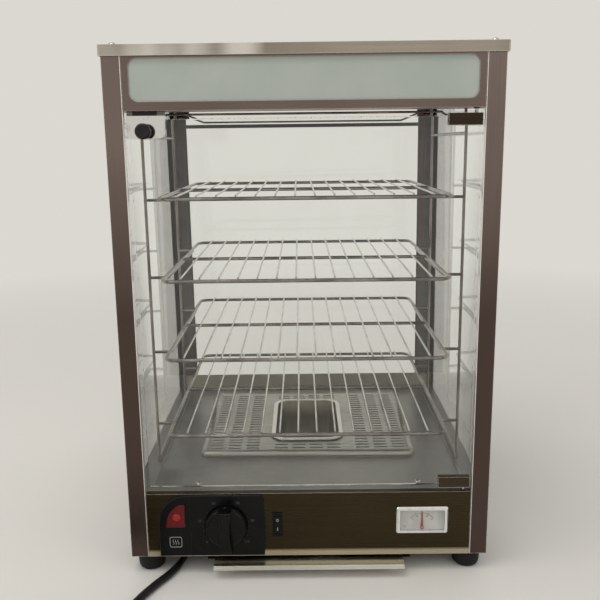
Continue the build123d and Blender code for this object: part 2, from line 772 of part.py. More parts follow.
with BuildPart() as handle_knob:
    turned(
        facing_rear(knob_x, knob_z).offset(door_depth - plate_thick),
        [(-16.5, 7.5), (-15.0, 9.0), (-11.0, 9.0), (-7.0, 5.5), (0, 6.5)],
    )
save(handle_knob.part, "handle_knob")

# Magnetic catch under the header
with BuildPart() as magnet_catch:
    block(-199.0, -170.7, plate_back + plate_thick + 0.4, 24.0, 571.0, header_bottom)
    block(-206.0, -162.0, 9.5, 11.5, 578.0, header_bottom)
save(magnet_catch.part, "magnet_catch")

# Feet and their screws
with BuildPart() as feet:
    for foot_x, foot_d in foot_places:
        turned(
            Plane(origin=(foot_x, at(foot_d), 0)),
            [(0, 13.0), (1.8, 15.6), (6, 17.3), (foot_height, 18.0)],
        )
        stud(foot_x, foot_d, 0, 6.0, 10.0, mode=Mode.SUBTRACT)
        stud(foot_x, foot_d, 10, 2.6, foot_height - 10, mode=Mode.SUBTRACT)
save(feet.part, "feet")

with BuildPart() as foot_screws:
    for foot_x, foot_d in foot_places:
        stud(foot_x, foot_d, 7.0, 4.5, 3.0)
        stud(foot_x, foot_d, 10.0, 2.5, foot_height - 10 + 4)
save(foot_screws.part, "foot_screws")

# Crumb tray that slides out under the front, and its rails
tray_top = 18.9
tray_floor_z = 6.5
with BuildPart() as tray_rails:
    for side in (-1, 1):
        with BuildSketch(Plane.XZ.offset(-at(4))):
            with BuildLine():
                Polyline(
                    (side * 120.0, foot_height), (side * 132.0, foot_height), (side * 132.0, 16.4),
                    (side * 120.0, 16.4), (side * 120.0, 17.6), (side * 130.8, 17.6),
                    (side * 130.8, foot_height - sheet), (side * 120.0, foot_height - sheet), close=True,
                )
            make_face()
        extrude(amount=-(tray_rear + 6))
    block(-132, 132, tray_rear + 6, tray_rear + 10, 16.4, foot_height)
save(tray_rails.part, "tray_rails")

with BuildPart() as crumb_tray:
    block(-tray_half, tray_half, 4, tray_rear, tray_floor_z, tray_top)
    block(-tray_half + 1, tray_half - 1, 5, tray_rear - 1, tray_floor_z + 1, tray_top, mode=Mode.SUBTRACT)
    for side in (-1, 1):
        x0, x1 = sorted((side * (tray_half - 1), side * tray_flange))
        block(x0, x1, 12, tray_rear, tray_top - 1, tray_top)
    block(-122, 122, -tray_lip, 5, tray_top - 1, tray_top)
    block(-122, 122, -tray_lip, -tray_lip + 1, 12.6, tray_top)
save(crumb_tray.part, "crumb_tray")

# Cord gland in the rear panel
gland_out = body_depth + gland_proud
with BuildPart() as cord_gland:
    turned(
        facing_rear(gland_x, gland_z),
        [
            (430, 7.9), (body_depth - sheet, 7.9), (body_depth - sheet, 11.0),
            (body_depth + 4, 11.0), (gland_out, 6.4),
        ],
    )
    # Lock nut inside the panel
    with BuildSketch(Plane.XZ.offset(-at(back_plane - 5))):
        with Locations((gland_x, gland_z)):
            RegularPolygon(10.5, 6)
            RegularPolygon(8.1, turned_sides, mode=Mode.SUBTRACT)
    extrude(amount=-5)
save(cord_gland.part, "cord_gland")

# Mains cord: out of the rear, down to the bench, forward under the base, and coiled in front
cord_radius = cord_diameter / 2
bench_z = cord_radius + 0.25
route = [
    (gland_x, gland_out, gland_z),
    (gland_x, 498, gland_z),
    (-121, 529, 69),
    (-144, 529, 31),
    (-160, 498, bench_z),
    (-165, 437, bench_z),
    (-170, 340, bench_z),
    (-167, 235, bench_z),
    (-170, 130, bench_z),
    (-165, 55, bench_z),
    (-171, 2, bench_z),
    (-198, -42, bench_z),
    (-216, -85, bench_z),
    (-222, -122, bench_z),
    (-222, -150, bench_z),
]
points = [Vector(x, at(d), z) for x, d, z in route]
radii = []
for before, corner, after in zip(points, points[1:], points[2:]):
    turn = (corner - before).get_angle(after - corner)
    shorter = min((corner - before).length, (after - corner).length)
    radii.append(0.45 * shorter / math.tan(math.radians(turn / 2)))
    print(f"cord run {shorter:.0f} turn {turn:.1f} radius {radii[-1]:.0f}")
with BuildPart() as cord_run:
    with BuildLine() as cord_path:
        FilletPolyline(*points, radius=radii)
    with BuildSketch(section_plane(points[0], points[1] - points[0])) as cord_section:
        RegularPolygon(cord_radius, tube_sides)
    sweep(path=cord_path.line)
save(cord_run.part, "power_cord_run")
run_length = sum(edge.length for edge in cord_path.edges())
print(f"cord run {run_length:.0f} mm, volume {cord_run.part.volume:.0f}")
print(f"section times length {cord_section.sketch.area * run_length:.0f}")

# Coil: two half turns in, one that climbs, one out on top, each a half circle
coil_radii = (57.0, 52.0, 47.0, 52.0)
coil_climb = 2
layer_rise = cord_diameter + 0.9
with BuildPart() as cord_coil:
    with BuildLine() as coil_path:
        here = points[-1]
        heading = Vector(0, -1, 0)
        inward = Vector(-1, 0, 0)
        for n, radius in enumerate(coil_radii):
            rise = Vector(0, 0, layer_rise if n == coil_climb else 0)
            there = here + inward * (2 * radius) + rise
            middle = (here + there) / 2
            half_span = (there - here).length / 2
            ThreePointArc(here, middle + heading * half_span, there)
            here, heading, inward = there, heading * -1, inward * -1
        Line(here, here + heading * 45.0)
    with BuildSketch(section_plane(points[-1], Vector(0, -1, 0))):
        RegularPolygon(cord_radius, tube_sides)
    sweep(path=coil_path.line)
save(cord_coil.part, "power_cord_coil")
coil_wire = coil_path.wires()[0]
samples = [coil_wire.position_at(i / 240) for i in range(241)]
apart = 240 * 3 * cord_diameter / coil_wire.length
self_gap = min(
    (a - b).length - cord_diameter
    for i, a in enumerate(samples) for j, b in enumerate(samples) if j - i > apart
)
print(f"coil {coil_wire.length:.0f} mm, least gap to itself {self_gap:.2f} mm")

# Plug: cable guard, body and two round pins, lying beside the coil
plug_start = here + heading * 45.0
plug_z = plug_start.Z
plug_x = plug_start.X
plug_radius = plug_z - 0.2
with BuildPart() as mains_plug:
    turned(
        Plane(origin=plug_start, x_dir=(0, 0, 1), z_dir=heading),
        [
            (0, 6.2), (20, 8.2), (27, plug_radius - 1), (31, plug_radius), (55, plug_radius),
            (57, plug_radius - 1.5),
        ],
    )
save(mains_plug.part, "mains_plug")

with BuildPart() as plug_pins:
    for side in (-1, 1):
        with BuildSketch(Plane.XZ.offset(-(plug_start.Y - 57))):
            with Locations((plug_x + side * 9.5, plug_z)):
                RegularPolygon(2.4, screw_sides)
        extrude(amount=19)
save(plug_pins.part, "plug_pins")
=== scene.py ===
"""Looks of a glass-sided countertop pie warmer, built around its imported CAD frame."""

import math

import bmesh
import bpy
from mathutils import Matrix, Vector


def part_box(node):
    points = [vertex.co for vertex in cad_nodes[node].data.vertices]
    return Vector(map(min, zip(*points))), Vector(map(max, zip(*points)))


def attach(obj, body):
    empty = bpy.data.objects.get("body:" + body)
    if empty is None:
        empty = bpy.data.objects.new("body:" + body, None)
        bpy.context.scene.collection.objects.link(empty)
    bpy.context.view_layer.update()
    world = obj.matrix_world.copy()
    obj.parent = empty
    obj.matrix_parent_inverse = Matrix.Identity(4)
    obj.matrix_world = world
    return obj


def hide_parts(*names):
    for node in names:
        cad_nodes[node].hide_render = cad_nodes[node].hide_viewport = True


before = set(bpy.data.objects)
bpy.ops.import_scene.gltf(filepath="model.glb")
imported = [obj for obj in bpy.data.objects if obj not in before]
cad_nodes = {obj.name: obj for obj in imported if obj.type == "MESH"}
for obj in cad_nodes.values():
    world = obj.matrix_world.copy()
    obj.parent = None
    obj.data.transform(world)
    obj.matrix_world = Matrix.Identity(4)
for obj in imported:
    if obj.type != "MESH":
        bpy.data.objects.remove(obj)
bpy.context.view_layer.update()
post_face_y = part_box("front_posts")[0].y


def new_object(name, data):
    """Makes an object from its data and puts it in the scene."""
    made = bpy.data.objects.new(name, data)
    bpy.context.scene.collection.objects.link(made)
    return made


# Places and lengths, written in millimetres
def mm(length):
    """Metres from millimetres."""
    return length / 1000


def place(x, d, z):
    """A point from its place across, its depth behind the post faces and its height."""
    return Vector((mm(x), post_face_y + mm(d), mm(z)))


# The photograph's camera
def photo_camera():
    lens = bpy.data.cameras.new("photo_camera")
    lens.lens = 44.4
    lens.sensor_width = 36.0
    lens.clip_end = 60.0
    camera = new_object("photo_camera", lens)
    eye = Vector((-0.0045, -1.087, 0.5443))
    pitch, yaw, roll = 0.2065, 0.0035, 0.012
    level_right = Vector((math.cos(yaw), math.sin(yaw), 0))
    level_ahead = Vector((-math.sin(yaw), math.cos(yaw), 0))
    ahead = level_ahead * math.cos(pitch) - Vector((0, 0, math.sin(pitch)))
    up = level_ahead * math.sin(pitch) + Vector((0, 0, math.cos(pitch)))
    right = level_right * math.cos(roll) - up * math.sin(roll)
    top = level_right * math.sin(roll) + up * math.cos(roll)
    turn = Matrix((right, top, -ahead)).transposed().to_4x4()
    camera.matrix_world = Matrix.Translation(eye) @ turn
    bpy.context.scene.camera = camera


# Node helpers
def feed(tree, socket, value):
    """Gives a socket a link or a plain value."""
    if isinstance(value, bpy.types.NodeSocket):
        tree.links.new(value, socket)
    else:
        socket.default_value = value


def paint(red, green, blue):
    """A linear colour from its screen values, 0 to 255."""
    channels = []
    for value in (red, green, blue):
        share = value / 255
        if share <= 0.04045:
            channels.append(share / 12.92)
        else:
            channels.append(((share + 0.055) / 1.055) ** 2.4)
    return (*channels, 1.0)


def reckon(tree, operation, first, second=0.0):
    node = tree.nodes.new("ShaderNodeMath")
    node.operation = operation
    feed(tree, node.inputs[0], first)
    feed(tree, node.inputs[1], second)
    return node.outputs[0]


def spread(tree, value, low, high, new_low=0.0, new_high=1.0):
    """Maps a value from one span to another, 0 to 1 if none is given, and keeps it inside."""
    node = tree.nodes.new("ShaderNodeMapRange")
    for socket, given in zip(node.inputs, (value, low, high, new_low, new_high)):
        feed(tree, socket, given)
    return node.outputs[0]


def mix_paint(tree, share, first, second):
    node = tree.nodes.new("ShaderNodeMix")
    node.data_type = "RGBA"
    feed(tree, node.inputs[0], share)
    feed(tree, node.inputs[6], first)
    feed(tree, node.inputs[7], second)
    return node.outputs[2]


def own_coordinates(tree):
    """The piece's own coordinates, in metres."""
    return tree.nodes.new("ShaderNodeTexCoord").outputs["Object"]


# The stretch of a noise that is drawn out along no axis
even = (1.0, 1.0, 1.0)


def speckle(tree, stretch, scale, detail=2.0, roughness=0.5):
    """Noise over the piece's own coordinates, drawn out by a scale for each axis."""
    drawn = tree.nodes.new("ShaderNodeVectorMath")
    drawn.operation = "MULTIPLY"
    tree.links.new(own_coordinates(tree), drawn.inputs[0])
    feed(tree, drawn.inputs[1], stretch)
    noise = tree.nodes.new("ShaderNodeTexNoise")
    tree.links.new(drawn.outputs[0], noise.inputs["Vector"])
    feed(tree, noise.inputs["Scale"], scale)
    noise.inputs["Detail"].default_value = detail
    noise.inputs["Roughness"].default_value = roughness
    return noise.outputs[0]


def own_place(tree):
    """The place across, its depth and its height, in metres on the resting cabinet."""
    parts = tree.nodes.new("ShaderNodeSeparateXYZ")
    tree.links.new(own_coordinates(tree), parts.inputs[0])
    return parts.outputs


# Effects that several finishes share
def new_group(name, inputs, outputs):
    group = bpy.data.node_groups.new(name, "ShaderNodeTree")
    for label, kind, start in inputs:
        socket = group.interface.new_socket(name=label, in_out="INPUT", socket_type=kind)
        socket.default_value = start
    for label in outputs:
        group.interface.new_socket(name=label, in_out="OUTPUT", socket_type="NodeSocketFloat")
    return group, group.nodes.new("NodeGroupInput"), group.nodes.new("NodeGroupOutput")


def brushing_group():
    """Fine brushing lines and the slow clouding between them."""
    group, given, made = new_group(
        "brushed_lines",
        [("Stretch", "NodeSocketVector", (6.0, 900.0, 900.0))],
        ["Lines", "Clouds"],
    )
    fine = speckle(group, given.outputs["Stretch"], 1.0, 3.0, 0.65)
    slow = speckle(group, (5.0, 5.0, 5.0), 1.0, 2.0, 0.5)
    group.links.new(spread(group, fine, 0.3, 0.7), made.inputs["Lines"])
    group.links.new(spread(group, slow, 0.35, 0.65), made.inputs["Clouds"])
    return group


def edge_group():
    """Corners worn and painted bright as a highlight, found where a rounded normal leaves the flat one."""
    group, given, made = new_group(
        "worn_edges_and_highlights", [("Radius", "NodeSocketFloat", 0.0008)], ["Edge"]
    )
    rounded = group.nodes.new("ShaderNodeBevel")
    rounded.samples = 4
    group.links.new(given.outputs["Radius"], rounded.inputs["Radius"])
    flat = group.nodes.new("ShaderNodeNewGeometry")
    agree = group.nodes.new("ShaderNodeVectorMath")
    agree.operation = "DOT_PRODUCT"
    group.links.new(rounded.outputs[0], agree.inputs[0])
    group.links.new(flat.outputs["Normal"], agree.inputs[1])
    group.links.new(spread(group, agree.outputs["Value"], 0.985, 0.86), made.inputs["Edge"])
    return group


def smudge_group():
    """Faint finger marks and wiped streaks."""
    group, given, made = new_group(
        "finger_smudges", [("Size", "NodeSocketFloat", 22.0)], ["Smudge"]
    )
    patches = speckle(group, (1.0, 1.0, 0.7), given.outputs["Size"], 3.0, 0.6)
    streaks = speckle(group, (1.0, 1.0, 0.2), 160.0, 2.0, 0.5)
    wide = spread(group, patches, 0.5, 0.72)
    thin = spread(group, streaks, 0.3, 0.8, 0.4, 1.0)
    group.links.new(reckon(group, "MULTIPLY", wide, thin), made.inputs["Smudge"])
    return group


def dust_group():
    """A film that settles on what faces up."""
    group, given, made = new_group(
        "settled_dust", [("Amount", "NodeSocketFloat", 0.4)], ["Dust"]
    )
    facing = group.nodes.new("ShaderNodeNewGeometry")
    parts = group.nodes.new("ShaderNodeSeparateXYZ")
    group.links.new(facing.outputs["Normal"], parts.inputs[0])
    facing_up = spread(group, parts.outputs[2], 0.6, 0.95)
    patchy = spread(group, speckle(group, even, 60.0, 4.0, 0.7), 0.35, 0.7, 0.2, 1.0)
    film = reckon(group, "MULTIPLY", facing_up, patchy)
    group.links.new(reckon(group, "MULTIPLY", film, given.outputs["Amount"]), made.inputs["Dust"])
    return group


def moulding_group():
    """The fine skin of moulded plastic and rubber."""
    group, given, made = new_group(
        "moulded_skin", [("Size", "NodeSocketFloat", 1500.0)], ["Skin", "Patches"]
    )
    skin = speckle(group, even, given.outputs["Size"], 2.0, 0.6)
    patches = speckle(group, even, 45.0, 2.0, 0.5)
    group.links.new(skin, made.inputs["Skin"])
    group.links.new(spread(group, patches, 0.35, 0.65), made.inputs["Patches"])
    return group


brushed_lines = brushing_group()
worn_edges_and_highlights = edge_group()
finger_smudges = smudge_group()
settled_dust = dust_group()
moulded_skin = moulding_group()


def use(tree, group, **values):
    node = tree.nodes.new("ShaderNodeGroup")
    node.node_tree = group
    for label, value in values.items():
        node.inputs[label].default_value = value
    return node.outputs


def show_either(tree, share, first, second):
    """Blends two shaders, or two backgrounds, at the tree's output."""
    either = tree.nodes.new("ShaderNodeMixShader")
    output = next(node for node in tree.nodes if node.type.startswith("OUTPUT"))
    tree.links.new(share, either.inputs[0])
    tree.links.new(first.outputs[0], either.inputs[1])
    tree.links.new(second.outputs[0], either.inputs[2])
    tree.links.new(either.outputs[0], output.inputs["Surface"])


def new_finish(name):
    finish = bpy.data.materials.new(name)
    finish.use_nodes = True
    tree = finish.node_tree
    tree.nodes.clear()
    output = tree.nodes.new("ShaderNodeOutputMaterial")
    shader = tree.nodes.new("ShaderNodeBsdfPrincipled")
    tree.links.new(shader.outputs[0], output.inputs["Surface"])
    return finish, tree, shader


def surface(tree, shader, colour, roughness, metal=0.0):
    """What the finish shows: each value is a link or a plain one."""
    feed(tree, shader.inputs["Base Color"], colour)
    feed(tree, shader.inputs["Roughness"], roughness)
    feed(tree, shader.inputs["Metallic"], metal)


def raise_bump(tree, shader, height, strength, distance):
    bump = tree.nodes.new("ShaderNodeBump")
    bump.inputs["Strength"].default_value = strength
    bump.inputs["Distance"].default_value = distance
    feed(tree, bump.inputs["Height"], height)
    tree.links.new(bump.outputs[0], shader.inputs["Normal"])


# Sheet steels, with the way their brushing runs
across = (5.0, 1100.0, 1100.0)
upright = (1100.0, 1100.0, 5.0)
front_to_back = (1100.0, 5.0, 1100.0)

# The dark and light tones of each sheet, and the tone of its corners, worn and painted bright as a highlight
sheet_tones = {
    "header_steel": ((114, 100, 95), (128, 114, 108), (214, 206, 196)),
    "post_steel": ((120, 106, 101), (138, 124, 117), (250, 248, 244)),
    # The control panel's dark tones are a painted reflection of dark surroundings
    "panel_steel": ((52, 45, 32), (66, 58, 42), (226, 218, 204)),
    "roof_steel": ((128, 119, 109), (178, 169, 156), (252, 250, 245)),
    "floor_steel": ((122, 122, 119), (156, 156, 152), (226, 226, 222)),
    "cover_steel": ((150, 148, 141), (180, 178, 170), (246, 244, 238)),
    "tray_steel": ((206, 203, 196), (246, 244, 238), (250, 247, 240)),
    "rear_post_steel": ((46, 42, 40), (92, 84, 78), (170, 162, 150)),
    "rail_steel": ((138, 133, 116), (156, 151, 134), (196, 191, 178)),
    "clamp_steel": ((50, 42, 34), (74, 64, 53), (236, 226, 210)),
    "inner_steel": ((138, 136, 131), (172, 169, 163), (206, 203, 196)),
    # The base plate and element brackets under the cover are painted near black as the shade there
    "shade_dark_steel": ((26, 24, 20), (44, 40, 34), (72, 68, 60)),
}
dust_tone = (196, 192, 184)

# Painted bands that set in with height: a tone, where it starts and where it is full. The posts get painted
# shade lower down, the control panel a paler painted reflection along its bottom edge
post_shade = ((84, 70, 65), 0.56, 0.34)
panel_low_edge_reflection = ((186, 176, 150), 0.0325, 0.0285)

# Streaks: a tone and how far it is drawn out along each axis. On the roof they are painted highlights, on
# the rear posts a painted reflection
roof_glints = ((252, 249, 240), (13.0, 2.0, 2.0))
rear_post_reflection_streaks = ((84, 58, 46), (90.0, 90.0, 4.0))

# The post's fold, painted with a bright highlight, as a distance from the cabinet's middle, and how softly
# it ends
post_fold_highlight = 0.2087
fold_highlight_width = 0.0003


def sheet_steel(
    name, run, rough=(0.26, 0.4), dust=0.0, metal=1.0, corner=0.0009, band=None, streaks=None, fold=None
):
    """Brushed stainless sheet with clouding, finger marks and corners worn and painted bright as a
    highlight.
    """
    finish, tree, shader = new_finish(name)
    dark, light, edge = [paint(*tone) for tone in sheet_tones[name]]
    lines, clouds = use(tree, brushed_lines, Stretch=run)[:2]
    edge_wear_and_highlight = use(tree, worn_edges_and_highlights, Radius=corner)[0]
    smudge = use(tree, finger_smudges, Size=18.0)[0]
    tone = reckon(tree, "ADD", reckon(tree, "MULTIPLY", lines, 0.3), reckon(tree, "MULTIPLY", clouds, 0.7))
    colour = mix_paint(tree, tone, dark, light)
    # Drawn-out streaks: painted highlights on the roof, painted reflection on the rear posts
    if streaks:
        streak_tone, stretch = streaks
        streak_share = spread(tree, speckle(tree, stretch, 1.0, 2.0, 0.4), 0.46, 0.68)
        colour = mix_paint(tree, streak_share, colour, paint(*streak_tone))
    # A painted band by height: shade lower down on the posts, a paler reflection along the panel's bottom
    # edge
    if band:
        band_tone, start, full = band
        shade = spread(tree, own_place(tree)[2], start, full)
        colour = mix_paint(tree, shade, colour, paint(*band_tone))
    # A painted highlight along the post's fold
    if fold:
        off_middle = reckon(tree, "ABSOLUTE", own_place(tree)[0])
        colour = mix_paint(tree, spread(tree, off_middle, fold, fold + fold_highlight_width, 1.0, 0.0), colour, edge)
    # Corners worn and painted bright as a highlight
    colour = mix_paint(tree, edge_wear_and_highlight, colour, edge)
    if dust:
        film = use(tree, settled_dust, Amount=dust)[0]
        colour = mix_paint(tree, film, colour, paint(*dust_tone))
    shine = spread(tree, lines, 0.0, 1.0, *rough)
    shine = reckon(tree, "ADD", shine, reckon(tree, "MULTIPLY", smudge, 0.1))
    surface(tree, shader, colour, shine, metal)
    raise_bump(tree, shader, lines, 0.12, 0.0002)
    return finish


# Heights on the pan, in metres: the bloom sets in downwards and the painted highlight on the rim upwards
bloom_start, bloom_full = 0.066, 0.0585
rim_highlight_start, rim_highlight_full = 0.1176, 0.1186


def pan_steel():
    """Drawn steel: faint draw marks, hard-water bloom on the pan's floor and a painted highlight on the
    rolled rim.
    """
    finish, tree, shader = new_finish("pan_steel")
    lines, clouds = use(tree, brushed_lines, Stretch=(40.0, 40.0, 12.0))[:2]
    height = own_place(tree)[2]
    low = spread(tree, height, bloom_start, bloom_full)
    bloom = spread(tree, speckle(tree, even, 40.0, 3.0, 0.6), 0.45, 0.7, 0.0, 0.35)
    rim = spread(tree, height, rim_highlight_start, rim_highlight_full)
    colour = mix_paint(tree, lines, paint(104, 98, 82), paint(132, 125, 106))
    colour = mix_paint(tree, reckon(tree, "MULTIPLY", low, bloom), colour, paint(158, 152, 136))
    # A painted highlight along the rolled rim
    colour = mix_paint(tree, rim, colour, paint(232, 229, 222))
    surface(tree, shader, colour, spread(tree, clouds, 0.0, 1.0, 0.24, 0.36), 1.0)
    raise_bump(tree, shader, lines, 0.08, 0.0002)
    return finish


# Wires, plating and polished trim, with their dark and light tones
wire_tones = {
    # The shelf frame and rack wires are darkened as a painted reflection of dark surroundings
    "shelf_wire": ((98, 92, 88), (156, 151, 146)),
    "grid_wire": ((186, 183, 178), (222, 219, 214)),
    "rack_wire": ((104, 92, 86), (150, 142, 136)),
    "screw_plating": ((168, 166, 162), (206, 204, 200)),
    "element_sheath": ((84, 78, 70), (120, 112, 100)),
}
trim_tones = {
    "handle_trim": ((150, 149, 147), (226, 225, 222)),
    "thermometer_trim": ((196, 196, 196), (240, 240, 240)),
}


def wire_steel(name, rough):
    """Polished wire with faint drawing lines and a patchy tone, darkened on the shelf frames and racks as a
    painted reflection.
    """
    finish, tree, shader = new_finish(name)
    dark, light = [paint(*tone) for tone in wire_tones[name]]
    patches = speckle(tree, even, 24.0, 3.0, 0.6)
    fine = speckle(tree, even, 900.0, 2.0, 0.5)
    tone = spread(tree, patches, 0.35, 0.65)
    surface(tree, shader, mix_paint(tree, tone, dark, light), spread(tree, fine, 0.3, 0.7, *rough), 1.0)
    raise_bump(tree, shader, fine, 0.06, 0.0001)
    return finish


def screw_plating():
    return wire_steel("screw_plating", (0.18, 0.3))


def polished_trim(name):
    """Bright trim: rounded corners carry a painted highlight with some wear, and faint rubbing dulls the
    flats.
    """
    finish, tree, shader = new_finish(name)
    dull, bright = [paint(*tone) for tone in trim_tones[name]]
    edge_wear_and_highlight = use(tree, worn_edges_and_highlights, Radius=0.0007)[0]
    smudge = use(tree, finger_smudges, Size=60.0)[0]
    colour = mix_paint(tree, smudge, bright, dull)
    colour = mix_paint(tree, edge_wear_and_highlight, colour, paint(250, 249, 246))
    surface(tree, shader, colour, spread(tree, smudge, 0.0, 1.0, 0.08, 0.24), 1.0)
    raise_bump(tree, shader, smudge, 0.05, 0.0002)
    return finish


# Plastics and rubber: two tones of the skin and the tone of its edges, worn and painted lighter as a
# highlight
plastic_tones = {
    "bezel_black": ((8, 8, 9), (12, 12, 13), (58, 60, 62)),
    "knob_black": ((7, 7, 8), (10, 10, 11), (62, 64, 65)),
    "handle_black": ((12, 11, 11), (19, 18, 18), (56, 54, 53)),
    "fitting_black": ((12, 11, 10), (20, 19, 18), (52, 50, 48)),
    "foot_rubber": ((9, 9, 9), (15, 15, 15), (40, 40, 39)),
    "cord_sheath": ((10, 10, 11), (17, 17, 18), (36, 36, 37)),
    "dial_card": ((200, 199, 197), (216, 215, 213), (236, 236, 234)),
    "lamp_plastic": ((208, 206, 200), (222, 220, 214), (232, 230, 226)),
}


def moulded(name, rough, size=1500.0, bump=0.12, glare=0.5):
    finish, tree, shader = new_finish(name)
    dark, light, edge = [paint(*tone) for tone in plastic_tones[name]]
    skin, patches = use(tree, moulded_skin, Size=size)[:2]
    edge_wear_and_highlight = use(tree, worn_edges_and_highlights, Radius=0.0006)[0]
    # Edges worn and painted lighter as a highlight
    colour = mix_paint(tree, edge_wear_and_highlight, mix_paint(tree, patches, dark, light), edge)
    surface(tree, shader, colour, spread(tree, patches, 0.0, 1.0, *rough))
    shader.inputs["Specular IOR Level"].default_value = glare
    raise_bump(tree, shader, skin, bump, 0.0001)
    return finish


def knob_black():
    return moulded("knob_black", (0.2, 0.3), glare=0.18)


def fitting_black():
    return moulded("fitting_black", (0.42, 0.56), glare=0.35)


def cord_sheath():
    return moulded("cord_sheath", (0.42, 0.58), size=900.0, bump=0.2, glare=0.35)


# The magnet catch: its middle, half its block and how softly the tabs begin, in metres
catch_middle_x = -0.18485
catch_block_half = 0.01417
catch_seam = 0.00004


def catch_black():
    """Black magnet block with plain steel tabs at both ends."""
    finish, tree, shader = new_finish("catch_black")
    off_middle = reckon(tree, "ABSOLUTE", reckon(tree, "SUBTRACT", own_place(tree)[0], catch_middle_x))
    tab = spread(tree, off_middle, catch_block_half, catch_block_half + catch_seam)
    grain = speckle(tree, even, 700.0, 2.0, 0.6)
    block = mix_paint(tree, grain, paint(9, 9, 9), paint(16, 16, 15))
    plate = mix_paint(tree, grain, paint(112, 110, 106), paint(138, 136, 132))
    colour = mix_paint(tree, tab, block, plate)
    surface(tree, shader, colour, spread(tree, grain, 0.3, 0.7, 0.34, 0.48), tab)
    return finish


def pilot_red():
    """Red lens with a moulded pattern of tiny prisms behind its face."""
    finish, tree, shader = new_finish("pilot_red")
    cells = tree.nodes.new("ShaderNodeTexVoronoi")
    cells.inputs["Scale"].default_value = 900.0
    tree.links.new(own_coordinates(tree), cells.inputs["Vector"])
    prisms = cells.outputs["Distance"]
    colour = mix_paint(tree, prisms, paint(104, 4, 6), paint(70, 2, 4))
    surface(tree, shader, colour, spread(tree, prisms, 0.0, 1.0, 0.14, 0.3))
    shader.inputs["Specular IOR Level"].default_value = 0.35
    raise_bump(tree, shader, prisms, 0.15, 0.0001)
    return finish


def marking(name, colour, other):
    """Printed paint with slightly uneven cover."""
    finish, tree, shader = new_finish(name)
    cover = speckle(tree, even, 2500.0, 2.0, 0.6)
    surface(tree, shader, mix_paint(tree, cover, colour, other), spread(tree, cover, 0.0, 1.0, 0.4, 0.6))
    return finish


# Glass
def clear_glass():
    """Clear float glass with finger marks, that lets light through to the shelves."""
    finish, tree, shader = new_finish("clear_glass")
    smudge = use(tree, finger_smudges, Size=9.0)[0]
    colour = mix_paint(tree, smudge, paint(253, 254, 253), paint(248, 250, 248))
    surface(tree, shader, colour, spread(tree, smudge, 0.0, 1.0, 0.0, 0.04))
    shader.inputs["Transmission Weight"].default_value = 1.0
    shader.inputs["IOR"].default_value = 1.45
    clear = tree.nodes.new("ShaderNodeBsdfTransparent")
    clear.inputs["Color"].default_value = paint(252, 253, 252)
    ray = tree.nodes.new("ShaderNodeLightPath")
    show_either(tree, ray.outputs["Is Shadow Ray"], shader, clear)
    return finish


# The shade of the roof lip on the light window, by height in metres
lip_shade_start, lip_shade_full = 0.634, 0.6426


def frosted_glass():
    """Sand-blasted light window, with the roof lip's shadow painted darker along its top."""
    finish, tree, shader = new_finish("frosted_glass")
    mist = speckle(tree, even, 14.0, 3.0, 0.6)
    grit = speckle(tree, even, 1800.0, 2.0, 0.6)
    tone = spread(tree, mist, 0.35, 0.65)
    colour = mix_paint(tree, tone, paint(169, 177, 170), paint(175, 182, 175))
    shade = spread(tree, own_place(tree)[2], lip_shade_start, lip_shade_full, 0.0, 0.45)
    colour = mix_paint(tree, shade, colour, paint(132, 140, 129))
    surface(tree, shader, colour, spread(tree, grit, 0.3, 0.7, 0.3, 0.42))
    raise_bump(tree, shader, grit, 0.15, 0.0001)
    return finish


def lamp_glass():
    """Milky lamp tube."""
    finish, tree, shader = new_finish("lamp_glass")
    mist = speckle(tree, even, 60.0, 2.0, 0.5)
    colour = mix_paint(tree, mist, paint(226, 226, 222), paint(238, 238, 235))
    surface(tree, shader, colour, spread(tree, mist, 0.3, 0.7, 0.16, 0.26))
    return finish


# Putting pieces on the frame
def stand_for(piece, body, stood_for=()):
    """A new piece rides on its body and hides the nodes it stands for."""
    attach(piece, body)
    if stood_for:
        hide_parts(*stood_for)
    return piece


def dress(names, finish, corner=0.0):
    """Gives CAD nodes their finish and, for pressed and moulded pieces, rounded corners."""
    for name in names:
        node = cad_nodes[name]
        for slot in node.material_slots:
            slot.material = finish
        if not node.material_slots:
            node.data.materials.append(finish)
        weld = node.modifiers.new("joined_facets", "WELD")
        weld.merge_threshold = mm(0.02)
        if corner:
            rounding = node.modifiers.new("rounded_corners", "BEVEL")
            rounding.width = mm(corner)
            rounding.segments = 2
            rounding.limit_method = "ANGLE"
            rounding.angle_limit = math.radians(35)
            rounding.harden_normals = False
        shading = node.modifiers.new("even_shading", "WEIGHTED_NORMAL")
        shading.keep_sharp = False


def piece_from(mesh_data, name, finish, body, stood_for=(), sharp=32):
    """A finished mesh piece from the bmesh it was made in."""
    mesh = bpy.data.meshes.new(name)
    bmesh.ops.recalc_face_normals(mesh_data, faces=mesh_data.faces)
    mesh_data.to_mesh(mesh)
    mesh_data.free()
    mesh.shade_smooth()
    mesh.set_sharp_from_angle(angle=math.radians(sharp))
    mesh.materials.append(finish)
    return stand_for(new_object(name, mesh), body, stood_for)


